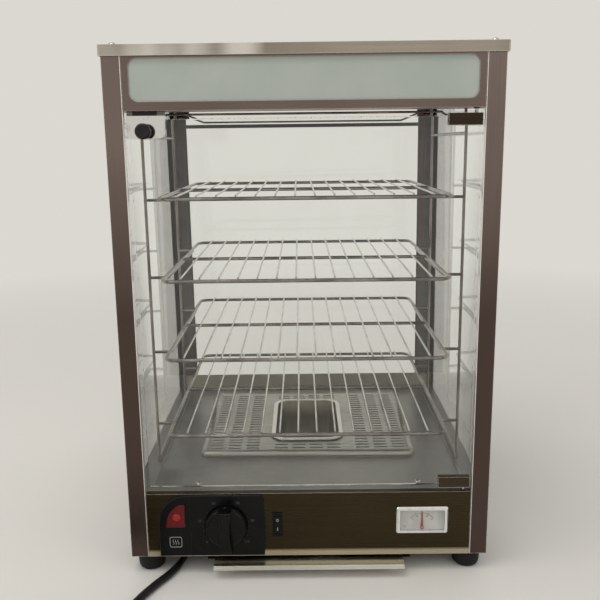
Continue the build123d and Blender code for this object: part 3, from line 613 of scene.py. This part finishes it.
def turn_on(mesh_data, base, axis, stations, around=64):
    """Turns a profile of heights and radii about an axis through the base point."""
    axis = Vector(axis).normalized()
    side = axis.cross(Vector((0, 0, 1)) if abs(axis.z) < 0.9 else Vector((1, 0, 0))).normalized()
    other = axis.cross(side)
    rings = []
    for height, radius in stations:
        centre = base + axis * mm(height)
        if radius <= 0:
            rings.append([mesh_data.verts.new(centre)])
            continue
        ring = []
        for n in range(around):
            angle = 2 * math.pi * n / around
            outward = side * math.cos(angle) + other * math.sin(angle)
            ring.append(mesh_data.verts.new(centre + outward * mm(radius)))
        rings.append(ring)
    for lower, upper in zip(rings, rings[1:]):
        for n in range(around):
            corners = [lower[n % len(lower)], lower[(n + 1) % len(lower)]]
            corners += [upper[(n + 1) % len(upper)], upper[n % len(upper)]]
            unique = list(dict.fromkeys(corners))
            if len(unique) > 2:
                mesh_data.faces.new(unique)
    for ring in (rings[0], rings[-1]):
        if len(ring) > 1:
            mesh_data.faces.new(ring)


def turned_piece(name, base, axis, stations, finish, body, stood_for=(), sharp=32, around=64):
    """One piece made by turning a single profile."""
    shape = bmesh.new()
    turn_on(shape, base, axis, stations, around)
    return piece_from(shape, name, finish, body, stood_for, sharp)


def slab_on(mesh_data, x0, x1, d0, d1, z0, z1):
    """A flat-sided part of a piece, between two corners."""
    low, high = place(x0, d0, z0), place(x1, d1, z1)
    centre = (low + high) / 2
    size = high - low
    fitted = Matrix.Translation(centre) @ Matrix.Diagonal((size.x, size.y, size.z, 1))
    bmesh.ops.create_cube(mesh_data, size=1.0, matrix=fitted)


# Wires, bent round as on the real racks and shelves
def rounded_run(points, bend, steps=8):
    corners = [place(*point) for point in points]
    run = [corners[0]]
    for before, corner, after in zip(corners, corners[1:], corners[2:]):
        arriving = (corner - before).normalized()
        leaving = (after - corner).normalized()
        half_turn = arriving.angle(leaving) / 2
        inward = (leaving - arriving).normalized()
        along = (arriving + leaving).normalized()
        centre = corner + inward * (mm(bend) / math.cos(half_turn))
        for n in range(steps + 1):
            swing = half_turn * (2 * n / steps - 1)
            run.append(centre + (along * math.sin(swing) - inward * math.cos(swing)) * mm(bend))
    run.append(corners[-1])
    return run


def wire_piece(name, runs, radius, finish, body, stood_for=(), closed=(), sides=3):
    """Round wires as one piece. Each run is a list of points, and closed names the ones that join up."""
    line = bpy.data.curves.new(name, "CURVE")
    line.dimensions = "3D"
    line.bevel_depth = mm(radius)
    line.bevel_resolution = sides
    line.use_fill_caps = True
    for n, run in enumerate(runs):
        spline = line.splines.new("POLY")
        spline.points.add(len(run) - 1)
        for point, where in zip(spline.points, run):
            point.co = (*where, 1.0)
        spline.use_cyclic_u = n in closed
        spline.use_smooth = True
    line.materials.append(finish)
    return stand_for(new_object(name, line), body, stood_for)


shelf_top_z = 480.5
shelf_pitch = 103.0
shelf_half = 182.0
shelf_near, shelf_far = 44.5, 425.5
shelf_corner = 14.0
shelf_bar_d = 235.0
grid_count = 14
frame_radius, grid_radius = 2.5, 1.3
# How the ends of a grid wire dip: the distance in from the frame wire and the lift over it
grid_dip = ((-1.0, 3.3), (0.1, 3.7), (2.5, 3.8))
shelf_bodies = ("shelf_one", "shelf_two", "shelf_three", "shelf_four")


def wire_shelf(level, body, finish, grid_finish):
    """One shelf: frame wire round the edge, a cross bar, and fourteen wires on top."""
    z = shelf_top_z - shelf_pitch * level
    corners = [
        (0, shelf_near, z), (shelf_half, shelf_near, z), (shelf_half, shelf_far, z),
        (-shelf_half, shelf_far, z), (-shelf_half, shelf_near, z), (0, shelf_near, z),
    ]
    ring = rounded_run(corners, shelf_corner, 10)[:-1]
    bar = [place(-shelf_half + 1.5, shelf_bar_d, z), place(shelf_half - 1.5, shelf_bar_d, z)]
    wire_piece(
        f"shelf_{level + 1}_frame", [ring, bar], frame_radius, finish, body,
        stood_for=[f"shelf_{level + 1}"], closed=(0,), sides=4,
    )
    grid = []
    for n in range(grid_count):
        x = -shelf_half + (n + 1) * 2 * shelf_half / (grid_count + 1)
        near_end = [place(x, shelf_near + inward, z + lift) for inward, lift in grid_dip]
        far_end = [place(x, shelf_far - inward, z + lift) for inward, lift in reversed(grid_dip)]
        grid.append(near_end + far_end)
    wire_piece(f"shelf_{level + 1}_grid", grid, grid_radius, grid_finish, body, sides=2)


rack_x = 207.5
rack_inner_x = 205.9
rack_front, rack_rear = 104.0, 362.0
rack_foot_z, rack_top_z = 110.0, 599.0
rack_rail_heights = (116.0, 557.0)
rack_radius, tie_radius = 2.0, 1.5
runner_x = 183.0
runner_drop, runner_bend = 4.8, 6.0


def side_rack(side, name, finish):
    """A side rack: two uprights, two rails and the bent runner under each shelf."""
    x = side * rack_x
    runs = []
    for depth in (rack_front, rack_rear):
        runs.append([place(x, depth, rack_foot_z), place(x, depth, rack_top_z)])
    for rail_z in rack_rail_heights:
        runs.append([place(x, rack_front, rail_z), place(x, rack_rear, rail_z)])
    near = side * rack_inner_x
    runner = side * runner_x
    for level in range(len(shelf_bodies)):
        z = shelf_top_z - shelf_pitch * level - runner_drop
        bent = [(near, rack_front, z), (runner, rack_front, z), (runner, rack_rear, z), (near, rack_rear, z)]
        runs.append(rounded_run(bent, runner_bend))
    wire_piece(f"{name}_wires", runs, rack_radius, finish, "cabinet", stood_for=[name])


def rack_tie_wires(finish):
    """The two cranked wires under the roof that keep the racks apart."""
    front_tie = [
        (-rack_inner_x, rack_front, 580), (-182, rack_front, 580), (-176, rack_front, 584),
        (176, rack_front, 584), (182, rack_front, 580), (rack_inner_x, rack_front, 580),
    ]
    rear_tie = [
        (-rack_inner_x, rack_rear, 594), (-190, rack_rear, 594), (-157, rack_rear, 581.5),
        (157, rack_rear, 581.5), (190, rack_rear, 594), (rack_inner_x, rack_rear, 594),
    ]
    runs = [rounded_run(front_tie, 2.5), rounded_run(rear_tie, 6.0)]
    wire_piece("tie_wires", runs, tie_radius, finish, "cabinet", stood_for=["rack_ties"])


element_half, element_z = 85.0, 80.0
element_front, element_rear = 62.0, 372.0
element_bend, element_radius = 40.0, 4.0


def element_tube(finish):
    """The tubular heating element, bent in a U round the pan."""
    loop = [
        (-element_half, element_front, element_z), (-element_half, element_rear, element_z),
        (element_half, element_rear, element_z), (element_half, element_front, element_z),
    ]
    wire_piece(
        "element_loop", [rounded_run(loop, element_bend, 14)], element_radius, finish, "cabinet",
        stood_for=["heating_element"], sides=4,
    )


# Water pan, drawn from sheet with a rolled rim
def rounded_rectangle(mesh_data, half_x, half_d, corner, z, centre_d):
    ring = []
    for turn, (sx, sd) in enumerate(((1, 1), (-1, 1), (-1, -1), (1, -1))):
        for n in range(9):
            angle = math.pi / 2 * (turn + n / 8)
            x = sx * (half_x - corner) + corner * math.cos(angle)
            d = centre_d + sd * (half_d - corner) + corner * math.sin(angle)
            ring.append(mesh_data.verts.new(place(x, d, z)))
    return ring


pan_half_x, pan_half_d, pan_corner = 54.0, 88.5, 24.0
pan_centre_d = 245.5


def drawn_pan(finish):
    profile = [
        (22.0, 59.2), (18.0, 59.25), (15.9, 60.0), (14.8, 61.8), (10.9, 90.0), (7.3, 117.5), (6.8, 118.5),
        (6.0, 119.05), (5.0, 119.2), (2.0, 119.2), (1.0, 119.0), (0.3, 118.4), (0.0, 117.6), (0.15, 116.7),
        (0.7, 116.35), (1.3, 116.6), (1.4, 118.0), (5.6, 118.1), (6.2, 117.2), (9.9, 88.0), (13.6, 61.0),
        (14.6, 59.2), (16.6, 58.3), (22.0, 58.2),
    ]
    pan = bmesh.new()
    rings = []
    for inset, z in profile:
        corner = max(pan_corner - inset, 4.0)
        half_x, half_d = pan_half_x - inset, pan_half_d - inset
        rings.append(rounded_rectangle(pan, half_x, half_d, corner, z, pan_centre_d))
    for lower, upper in zip(rings, rings[1:]):
        for n in range(len(lower)):
            after = (n + 1) % len(lower)
            pan.faces.new([lower[n], lower[after], upper[after], upper[n]])
    pan.faces.new(rings[0])
    pan.faces.new(rings[-1])
    piece_from(pan, "drawn_pan", finish, "pan", ["water_pan"], sharp=50)


# Turned and moulded pieces
knob_x, knob_z = -105.6, 67.5
grip_top, grip_bottom = 27.0, 28.5
grip_waist = 6.2
grip_foot, grip_crown = 7.0, 26.0


def knob_skirt(finish):
    profile = [
        (-3.4, 0), (-3.4, 27.2), (-3.8, 27.7), (-7.2, 27.7), (-8.0, 27.5), (-11.3, 25.6), (-12.1, 24.9),
        (-12.7, 23.6), (-13.0, 21.6), (-13.0, 0),
    ]
    turned_piece(
        "knob_skirt", place(knob_x, 0, knob_z), (0, 1, 0), profile, finish, "knob",
        ["thermostat_knob"], sharp=55, around=96,
    )


def grip_half_width(lift):
    """Half the width of the waisted grip at a height over its middle."""
    if lift >= 0:
        return grip_waist + 2.8 * (lift / grip_top) ** 2
    return grip_waist + 3.3 * (lift / grip_bottom) ** 2


def knob_grip(finish):
    """The waisted bar across the knob, domed along its length and rounded at its edges."""
    grip = bmesh.new()
    lifts = [grip_top - (grip_top + grip_bottom) * n / 24 for n in range(25)]
    sections = []
    for lift in lifts:
        half = grip_half_width(lift)
        crown = grip_crown - 1.6 * (lift / grip_bottom) ** 2
        outline = [(-half, grip_foot), (-half, crown - 1.4), (-half + 1.5, crown), (0, crown)]
        outline += [(half - 1.5, crown), (half, crown - 1.4), (half, grip_foot)]
        sections.append([grip.verts.new(place(knob_x + x, -out, knob_z + lift)) for x, out in outline])
    for upper, lower in zip(sections, sections[1:]):
        for n in range(len(upper)):
            after = (n + 1) % len(upper)
            grip.faces.new([upper[n], upper[after], lower[after], lower[n]])
    grip.faces.new(sections[0])
    grip.faces.new(sections[-1])
    piece = piece_from(grip, "knob_grip", finish, "knob", sharp=60)
    rounding = piece.modifiers.new("rounded_corners", "BEVEL")
    rounding.width = mm(0.7)
    rounding.segments = 3
    rounding.limit_method = "ANGLE"
    rounding.angle_limit = math.radians(32)


handle_x, handle_z = -183.5, 561.4


def door_knob(finish):
    profile = [
        (0, 0), (0, 6.5), (-2.5, 5.8), (-5.2, 5.4), (-7.2, 5.5), (-9.0, 6.6), (-10.3, 8.3), (-11.2, 8.9),
        (-12.0, 9.0), (-14.4, 9.0), (-15.3, 8.7), (-16.1, 7.9), (-16.5, 6.8), (-16.5, 5.9), (-16.2, 5.4),
        (-16.2, 0),
    ]
    turned_piece(
        "door_knob", place(handle_x, 0, handle_z), (0, 1, 0), profile, finish, "door",
        ["handle_knob"], sharp=50,
    )


foot_x = 208.0
foot_depths = (21.0, 418.0)


def rubber_feet(finish):
    profile = [
        (23.0, 0), (23.0, 17.5), (22.5, 18.0), (7.0, 17.4), (4.2, 16.8), (2.0, 15.7), (0.6, 14.2),
        (0, 12.7), (0, 7.0), (0.6, 6.1), (1.2, 6.0), (10.0, 6.0), (10.0, 0),
    ]
    feet = bmesh.new()
    for x in (-foot_x, foot_x):
        for d in foot_depths:
            turn_on(feet, place(x, d, 0), (0, 0, 1), profile)
    piece_from(feet, "rubber_feet", finish, "cabinet", ["feet"], sharp=40)


def cross_slot(mesh_data, x, d, reach, low, high):
    """The two bars of a cross slot, one a hair lower than the other: black pieces that paint the shade in
    the slot.
    """
    slab_on(mesh_data, x - reach, x + reach, d - 0.45, d + 0.45, low, high)
    slab_on(mesh_data, x - 0.45, x + 0.45, d - reach, d + reach, low, high - 0.01)


roof_screw_profile = [
    (648.5, 0), (648.5, 2.0), (657.5, 2.0), (657.5, 4.4), (657.8, 4.6), (658.5, 4.5), (659.4, 4.0),
    (660.2, 3.1), (660.6, 2.3), (660.7, 1.4), (660.7, 0),
]
floor_screw_profile = [
    (100.5, 0), (100.5, 2.0), (108.5, 2.0), (108.5, 4.3), (108.8, 4.5), (109.4, 4.4), (110.1, 3.7),
    (110.5, 2.7), (110.62, 1.6), (110.62, 0),
]
roof_screw_places = [(-218.0, 10.0), (-218.0, 428.0), (218.0, 10.0), (218.0, 428.0)]
floor_screw_places = [(-143.5, 35.0), (143.5, 35.0)]


def screw_heads(finish, dark):
    """Pan heads on the roof and the two on the cavity floor, each with its cross slot painted in black as
    shade.
    """
    roof = bmesh.new()
    floor = bmesh.new()
    slots = bmesh.new()
    for x, d in roof_screw_places:
        turn_on(roof, place(x, d, 0), (0, 0, 1), roof_screw_profile, 32)
        cross_slot(slots, x, d, 2.2, 660.3, 660.78)
    for x, d in floor_screw_places:
        turn_on(floor, place(x, d, 0), (0, 0, 1), floor_screw_profile, 32)
        cross_slot(slots, x, d, 2.1, 110.2, 110.69)
    piece_from(roof, "roof_pan_heads", finish, "cabinet", ["roof_screws"])
    piece_from(floor, "floor_pan_heads", finish, "cabinet", ["floor_screws"])
    # Black bars painted in as the shade in each cross slot
    piece_from(slots, "screw_slot_shade", dark, "cabinet")


# Mains cord, its gland, strain relief and plug
cord_exit = (-105.0, 454.0, 95.0)
gland_x, gland_end, gland_z = cord_exit
cord_radius = 4.75
cord_rest_z = 5.0
cord_upper_z = 15.4
coil_x = -222.0
plug_place = (coil_x, -195.0, cord_upper_z)
cord_points = [
    cord_exit, (-105, 498, 95), (-121, 528.8, 69), (-144, 528.8, 31), (-160, 498, cord_rest_z),
    (-165, 437, cord_rest_z), (-170, 340, cord_rest_z), (-167, 235, cord_rest_z), (-170, 130, cord_rest_z),
    (-165, 55, cord_rest_z), (-171, 2, cord_rest_z), (-198, -42, cord_rest_z), (-216, -85, cord_rest_z),
    (coil_x, -115, cord_rest_z), (coil_x, -136, cord_rest_z),
]
coil_radii = (57.0, 52.0, 47.0, 52.0)
coil_climb = 2
coil_layer = cord_upper_z - cord_rest_z
coil_step = 30


def coil_points():
    """Six points for each half turn of the coil: two turns in, a climb, and back out on top."""
    points = []
    x, d, z = coil_x, -150.0, cord_rest_z
    heading = -1.0
    for turn, radius in enumerate(coil_radii):
        inward = heading
        reach = radius / math.cos(math.radians(coil_step / 2))
        rise = coil_layer if turn == coil_climb else 0.0
        centre = x + inward * radius
        for n in range(180 // coil_step):
            turned = coil_step / 2 + coil_step * n
            swing = math.radians(turned)
            points.append((
                centre - inward * reach * math.cos(swing),
                d + heading * reach * math.sin(swing),
                z + rise * turned / 180,
            ))
        x = centre + inward * radius
        z += rise
        heading = -heading
    return points


def mains_cord(finish):
    line = bpy.data.curves.new("mains_cord", "CURVE")
    line.dimensions = "3D"
    line.bevel_depth = mm(cord_radius)
    line.bevel_resolution = 5
    line.resolution_u = 10
    line.use_fill_caps = True
    points = cord_points + coil_points()
    points += [(coil_x, d, cord_upper_z) for d in (-165, -180, -196)]
    spline = line.splines.new("NURBS")
    spline.points.add(len(points) - 1)
    for point, where in zip(spline.points, points):
        point.co = (*place(*where), 1.0)
    spline.order_u = 3
    spline.use_endpoint_u = True
    line.materials.append(finish)
    cord = new_object("mains_cord", line)
    return stand_for(cord, "cabinet", ["power_cord_run", "power_cord_coil"])


def gland_body(finish):
    """The gland's turned body and its six-sided lock nut."""
    gland = bmesh.new()
    base = place(gland_x, 0, gland_z)
    body = [
        (430, 0), (430, 7.9), (438.8, 7.9), (438.8, 10.4), (439.2, 11.0), (443.2, 11.0), (444.2, 10.4),
        (450.0, 8.0), (453.4, 6.8), (454, 6.2), (454, 0),
    ]
    lock_nut = [(432.6, 0), (432.6, 10.5), (437.6, 10.5), (437.6, 0)]
    turn_on(gland, base, (0, 1, 0), body)
    turn_on(gland, base, (0, 1, 0), lock_nut, 6)
    piece_from(gland, "gland_body", finish, "cabinet", ["cord_gland"], sharp=40)


rib_count, rib_pitch = 5, 6.0


def strain_relief(finish):
    """Tapered, ribbed sleeve where the cord leaves the gland."""
    profile = [(453.0, 0), (453.0, 6.3)]
    for n in range(rib_count):
        start = gland_end + rib_pitch * n
        radius = 6.3 - 0.2 * n
        profile += [(start, radius), (start + 3.4, radius - 0.06)]
        profile += [(start + 3.9, radius - 0.6), (start + 5.5, radius - 0.66)]
    profile += [(484.4, 5.2), (486.0, 5.05), (486.0, 0)]
    return turned_piece(
        "strain_relief", place(gland_x, 0, gland_z), (0, 1, 0), profile, finish, "cabinet",
        sharp=40, around=48,
    )


def plug_body(finish):
    profile = [
        (0, 0), (0, 5.9), (3.0, 6.2), (3.4, 5.6), (5.6, 5.7), (6.0, 6.5), (9.0, 6.8), (9.4, 6.1),
        (11.6, 6.3), (12.0, 7.0), (15.0, 7.3), (15.4, 6.7), (17.6, 6.9), (19.5, 7.9), (22.0, 9.9),
        (25.0, 12.7), (27.5, 14.3), (30.0, 15.0), (32.0, 15.2), (54.0, 15.2), (55.6, 14.9), (56.6, 14.2),
        (57.0, 13.2), (57.0, 0),
    ]
    return turned_piece(
        "plug_body", place(*plug_place), (0, -1, 0), profile, finish, "cabinet",
        ["mains_plug"], sharp=40,
    )


pin_half_gap = 9.5


def plug_pin_pair(finish):
    profile = [(56.5, 0), (56.5, 2.4), (74.2, 2.4), (75.3, 2.1), (75.9, 1.3), (76.0, 0)]
    pins = bmesh.new()
    x, d, z = plug_place
    for side in (-1, 1):
        turn_on(pins, place(x + side * pin_half_gap, d, z), (0, -1, 0), profile, 28)
    return piece_from(pins, "plug_pin_pair", finish, "cabinet", ["plug_pins"])


# Printed marks
def drawn_line(name, points, thickness, finish, body="cabinet", closed=False):
    """A painted line that stands a hair proud of its face."""
    return wire_piece(
        name, [[place(*point) for point in points]], thickness, finish, body,
        closed=(0,) if closed else (), sides=1,
    )


def number_mark(name, text, x, d, z, size, finish):
    """A generic dial number, centred on its place and facing forward."""
    letters = bpy.data.curves.new(name, "FONT")
    letters.body = text
    letters.size = mm(size)
    letters.align_x = "CENTER"
    letters.align_y = "CENTER"
    letters.extrude = mm(0.03)
    letters.materials.append(finish)
    mark = new_object(name, letters)
    mark.rotation_euler = (math.pi / 2, 0, 0)
    mark.location = place(x, d, z)
    return stand_for(mark, "cabinet")


def heat_symbol(white):
    """The outlined square with rising heat waves, low on the thermostat bezel."""
    left, right, bottom, top = -178.8, -163.6, 38.0, 51.8
    cut = 1.8
    depth = -3.1
    outline = [
        (left + cut, bottom), (right - cut, bottom), (right - cut / 3, bottom + cut / 3),
        (right, bottom + cut), (right, top - cut), (right - cut / 3, top - cut / 3),
        (right - cut, top), (left + cut, top), (left + cut / 3, top - cut / 3),
        (left, top - cut), (left, bottom + cut), (left + cut / 3, bottom + cut / 3),
    ]
    square = [(x, depth, z) for x, z in outline]
    drawn_line("heat_square", square, 0.28, white, closed=True)
    for n in range(3):
        middle = -171.2 + 3.1 * (n - 1)
        wave = []
        for step in range(13):
            lift = 41.3 + 7.2 * step / 12
            wave.append((middle + 0.7 * math.sin(step / 12 * 2 * math.pi), depth, lift))
        drawn_line(f"heat_wave_{n + 1}", wave, 0.24, white)


scale_start, scale_sweep = 222.0, 264.0
scale_d = -3.06
scale_inner, scale_outer, scale_number_radius = 28.8, 30.2, 34.5
scale_numbers = ("0", "30", "50", "70", "90", "110")


def scale_point(radius, share):
    """A point on the thermostat's scale, from its low end at 0 to its high end at 1."""
    angle = math.radians(scale_start - scale_sweep * share)
    return (knob_x + radius * math.cos(angle), scale_d, knob_z + radius * math.sin(angle))


def thermostat_scale(grey):
    """Faint numbers and ticks round the knob."""
    for n, text in enumerate(scale_numbers):
        x, d, z = scale_point(scale_number_radius, n / 5)
        number_mark(f"thermostat_number_{n + 1}", text, x, d, z, 4.6, grey)
    for n in range(21):
        tick = [scale_point(scale_inner, n / 20), scale_point(scale_outer, n / 20)]
        drawn_line(f"thermostat_tick_{n + 1:02d}", tick, 0.16, grey)


def bezel_seam(dark):
    """The moulded parting between the lamp end and the knob end of the bezel."""
    seam = [(-151.5, -3.0, 26.2), (-151.5, -3.0, 66.0), (-152.0, -3.0, 108.0)]
    drawn_line("bezel_seam", seam, 0.2, dark)


pilot_x, pilot_z = -168.9, 79.8


def pilot_lamp(finish):
    """The round lamp that shows through the red lens, painted bright red as its glow."""
    profile = [
        (4.0, 0), (4.0, 5.0), (4.5, 5.0), (4.75, 4.6), (4.6, 4.1), (4.55, 3.0), (4.85, 2.2), (4.95, 0),
    ]
    turned_piece(
        "pilot_lamp", place(pilot_x, 0, pilot_z), (0, -1, 0), profile, finish, "cabinet",
        sharp=70, around=40,
    )


# The rocker's pivot, the depth of its face there and how far the face falls away over each half
rocker_x, rocker_z = -39.9, 66.9
rocker_face_d = 0.9
rocker_upper_fall, rocker_lower_fall = 2.5 / 11.2, 4.3 / 10.6


def rocker_marks(white):
    """The O and I on the two halves of the paddle."""
    ring = []
    for n in range(24):
        angle = 2 * math.pi * n / 24
        lift = 5.6 + 1.75 * math.sin(angle)
        depth = rocker_face_d - rocker_upper_fall * lift
        ring.append((rocker_x + 1.45 * math.cos(angle), depth, rocker_z + lift))
    drawn_line("rocker_off", ring, 0.3, white, "rocker", closed=True)
    stroke = []
    for drop in (4.2, 7.8):
        stroke.append((rocker_x, rocker_face_d - rocker_lower_fall * drop, rocker_z - drop))
    drawn_line("rocker_on", stroke, 0.32, white, "rocker")


thermometer_x = 145.7
dial_pivot_z = 62.0
dial_face_d = -0.04
dial_radius, dial_number_radius = 18.4, 15.6
dial_start, dial_step = -50, 5


def dial_point(radius, angle):
    swing = math.radians(angle)
    return (thermometer_x + radius * math.sin(swing), dial_face_d, dial_pivot_z + radius * math.cos(swing))


def thermometer_scale(black, red):
    """A plain temperature scale: arc, ticks, numbers and a red hot end."""
    arc = [dial_point(dial_radius, dial_start + dial_step * n) for n in range(21)]
    cool, hot = arc[:15], arc[14:]
    drawn_line("dial_arc_cool", cool, 0.14, black)
    drawn_line("dial_arc_hot", hot, 0.3, red)
    for n in range(21):
        angle = dial_start + dial_step * n
        reach, thickness = (20.8, 0.16) if n % 5 == 0 else (19.7, 0.1)
        tick = [dial_point(dial_radius, angle), dial_point(reach, angle)]
        drawn_line(f"dial_tick_{n + 1:02d}", tick, thickness, black)
    for n, text in enumerate(("0", "30", "60", "90", "120")):
        x, d, z = dial_point(dial_number_radius, dial_start + 5 * dial_step * n)
        finish = red if n == 4 else black
        number_mark(f"dial_number_{n + 1}", text, x, d, z, 3.0, finish)
    unit_x = thermometer_x - 22.5
    number_mark("dial_unit", "°C", unit_x, dial_face_d, dial_pivot_z, 4.2, red)


# Floor, backdrop and light
backdrop_colour = paint(219, 216, 209)


def seen_directly(tree):
    """One for rays that show the background: from the camera, off metal or through glass."""
    ray = tree.nodes.new("ShaderNodeLightPath")
    seen = reckon(tree, "MAXIMUM", ray.outputs["Is Camera Ray"], ray.outputs["Is Glossy Ray"])
    return reckon(tree, "MAXIMUM", seen, ray.outputs["Is Transmission Ray"])


def bench_floor():
    """A plain pale bench top that melts into the backdrop far from the cabinet."""
    mesh = bpy.data.meshes.new("bench_floor")
    reach = 14.0
    corners = [(-reach, -reach, 0), (reach, -reach, 0), (reach, reach, 0), (-reach, reach, 0)]
    mesh.from_pydata(corners, [], [(0, 1, 2, 3)])
    floor = new_object("bench_floor", mesh)
    finish, tree, shader = new_finish("bench_pale")
    shader.inputs["Base Color"].default_value = paint(217, 215, 210)
    shader.inputs["Roughness"].default_value = 0.7
    shader.inputs["Specular IOR Level"].default_value = 0.2
    away = tree.nodes.new("ShaderNodeVectorMath")
    away.operation = "LENGTH"
    tree.links.new(own_coordinates(tree), away.inputs[0])
    fade = spread(tree, away.outputs["Value"], 0.9, 2.4)
    glow = tree.nodes.new("ShaderNodeEmission")
    glow.inputs["Color"].default_value = backdrop_colour
    show_either(tree, reckon(tree, "MULTIPLY", fade, seen_directly(tree)), shader, glow)
    mesh.materials.append(finish)


def studio_world():
    world = bpy.data.worlds.new("pale_studio")
    bpy.context.scene.world = world
    world.use_nodes = True
    tree = world.node_tree
    tree.nodes.clear()
    soft = tree.nodes.new("ShaderNodeBackground")
    soft.inputs["Color"].default_value = (1.0, 0.985, 0.96, 1.0)
    soft.inputs["Strength"].default_value = 0.72
    seen = tree.nodes.new("ShaderNodeBackground")
    seen.inputs["Color"].default_value = backdrop_colour
    tree.nodes.new("ShaderNodeOutputWorld")
    show_either(tree, seen_directly(tree), soft, seen)


cabinet_middle = Vector((0, 0, 0.3))


def soft_lamp(name, where, size, power):
    lamp = bpy.data.lights.new(name, "AREA")
    lamp.shape = "SQUARE"
    lamp.size = size
    lamp.energy = power
    lamp.color = (1.0, 0.975, 0.94)
    stand = new_object(name, lamp)
    stand.location = where
    aim = cabinet_middle - Vector(where)
    stand.rotation_euler = aim.to_track_quat("-Z", "Y").to_euler()


def studio_lamps():
    soft_lamp("ceiling_lamp", (-0.5, -0.5, 2.3), 1.3, 15.0)
    soft_lamp("left_lamp", (-1.9, -1.4, 1.5), 0.9, 6.0)
    soft_lamp("right_lamp", (1.8, -1.7, 1.3), 0.9, 5.0)


# The cabinet, piece by piece
def dress_cabinet():
    header = sheet_steel("header_steel", across)
    posts = sheet_steel("post_steel", upright, corner=0.0012, band=post_shade, fold=post_fold_highlight)
    panel = sheet_steel("panel_steel", across, rough=(0.22, 0.34), band=panel_low_edge_reflection)
    roof = sheet_steel("roof_steel", across, rough=(0.22, 0.36), dust=0.18, streaks=roof_glints)
    rear_posts = sheet_steel("rear_post_steel", upright, streaks=rear_post_reflection_streaks)
    rails = sheet_steel("rail_steel", across, rough=(0.4, 0.55), metal=0.25)
    floor = sheet_steel("floor_steel", front_to_back, rough=(0.3, 0.44), dust=0.16)
    cover = sheet_steel("cover_steel", across, rough=(0.24, 0.36), dust=0.12)
    tray = sheet_steel("tray_steel", across, rough=(0.2, 0.32), dust=0.1)
    clamps = sheet_steel("clamp_steel", across, rough=(0.2, 0.34))
    inner = sheet_steel("inner_steel", across, rough=(0.34, 0.5), dust=0.3)
    shade_dark = sheet_steel("shade_dark_steel", across, rough=(0.4, 0.55))
    glass = clear_glass()
    black = fitting_black()
    needle = marking("needle_paint", paint(176, 18, 24), paint(150, 12, 18))
    dress(["header_panel"], header, 0.35)
    dress(["front_posts"], posts, 0.6)
    dress(["control_panel"], panel, 0.4)
    dress(["roof_cap"], roof, 0.5)
    dress(["rear_posts"], rear_posts, 0.3)
    dress(["rear_rails", "rear_glass_channel"], rails, 0.3)
    dress(["floor_plate"], floor, 0.25)
    dress(["perforated_cover"], cover)
    dress(["crumb_tray"], tray, 0.25)
    dress(["hinge_clamps"], clamps, 0.3)
    dress(["handle_plate"], polished_trim("handle_trim"), 0.3)
    dress(["thermometer_bezel"], polished_trim("thermometer_trim"), 0.4)
    dress(["side_panels", "rear_panel", "light_tray"], inner)
    dress(["base_plate", "element_brackets"], shade_dark)
    dress(["door_glass", "side_glass_left", "side_glass_right", "rear_glass", "thermometer_window"], glass)
    dress(["header_lens"], frosted_glass())
    dress(["lamp_tube"], lamp_glass())
    dress(["lamp_holders"], moulded("lamp_plastic", (0.4, 0.5)), 0.5)
    dress(["thermostat_bezel"], moulded("bezel_black", (0.24, 0.34), glare=0.16), 0.4)
    dress(["rocker_housing", "rocker_paddle"], knob_black(), 0.3)
    dress(["magnet_catch"], catch_black(), 0.3)
    dress(["thermostat_body", "hinge_bushes"], black, 0.3)
    dress(["tray_rails"], black)
    dress(["thermometer_dial", "thermometer_body"], moulded("dial_card", (0.4, 0.5)))
    dress(["pilot_lens"], pilot_red(), 0.2)
    dress(["thermometer_needle"], needle)


def build_cabinet():
    plating = screw_plating()
    frame_wires = wire_steel("shelf_wire", (0.12, 0.22))
    grid_wires = wire_steel("grid_wire", (0.1, 0.2))
    racks = wire_steel("rack_wire", (0.16, 0.28))
    dress(["roof_brackets", "thermostat_shaft", "hinge_pins", "foot_screws"], plating)
    for level, body in enumerate(shelf_bodies):
        wire_shelf(level, body, frame_wires, grid_wires)
    side_rack(-1, "rack_left", racks)
    side_rack(1, "rack_right", racks)
    rack_tie_wires(racks)
    element_tube(wire_steel("element_sheath", (0.34, 0.48)))
    drawn_pan(pan_steel())
    rubber_feet(moulded("foot_rubber", (0.5, 0.66), size=700.0, bump=0.3, glare=0.3))
    door_knob(moulded("handle_black", (0.36, 0.48), glare=0.35))
    knob = knob_black()
    knob_skirt(knob)
    knob_grip(knob)
    screw_heads(plating, fitting_black())


def print_marks():
    white = marking("white_print", paint(206, 206, 202), paint(182, 182, 178))
    grey = marking("grey_print", paint(74, 76, 76), paint(58, 60, 60))
    black = marking("black_print", paint(34, 32, 34), paint(60, 58, 60))
    red = marking("red_print", paint(188, 28, 46), paint(168, 20, 36))
    # A brighter red painted on the pilot lamp as its glow
    pilot_glow_red = marking("pilot_glow_red", paint(166, 12, 14), paint(146, 6, 9))
    heat_symbol(white)
    thermostat_scale(grey)
    bezel_seam(marking("seam_shadow", paint(8, 8, 8), paint(14, 14, 14)))
    pilot_lamp(pilot_glow_red)
    rocker_marks(white)
    thermometer_scale(black, red)


def lay_cord():
    black = fitting_black()
    sheath = cord_sheath()
    cord = mains_cord(sheath)
    relief = strain_relief(sheath)
    plug = plug_body(black)
    pins = plug_pin_pair(screw_plating())
    gland_body(black)


photo_camera()
lay_cord()
dress_cabinet()
build_cabinet()
print_marks()
bench_floor()
studio_world()
studio_lamps()
bpy.context.scene.view_settings.view_transform = "Standard"
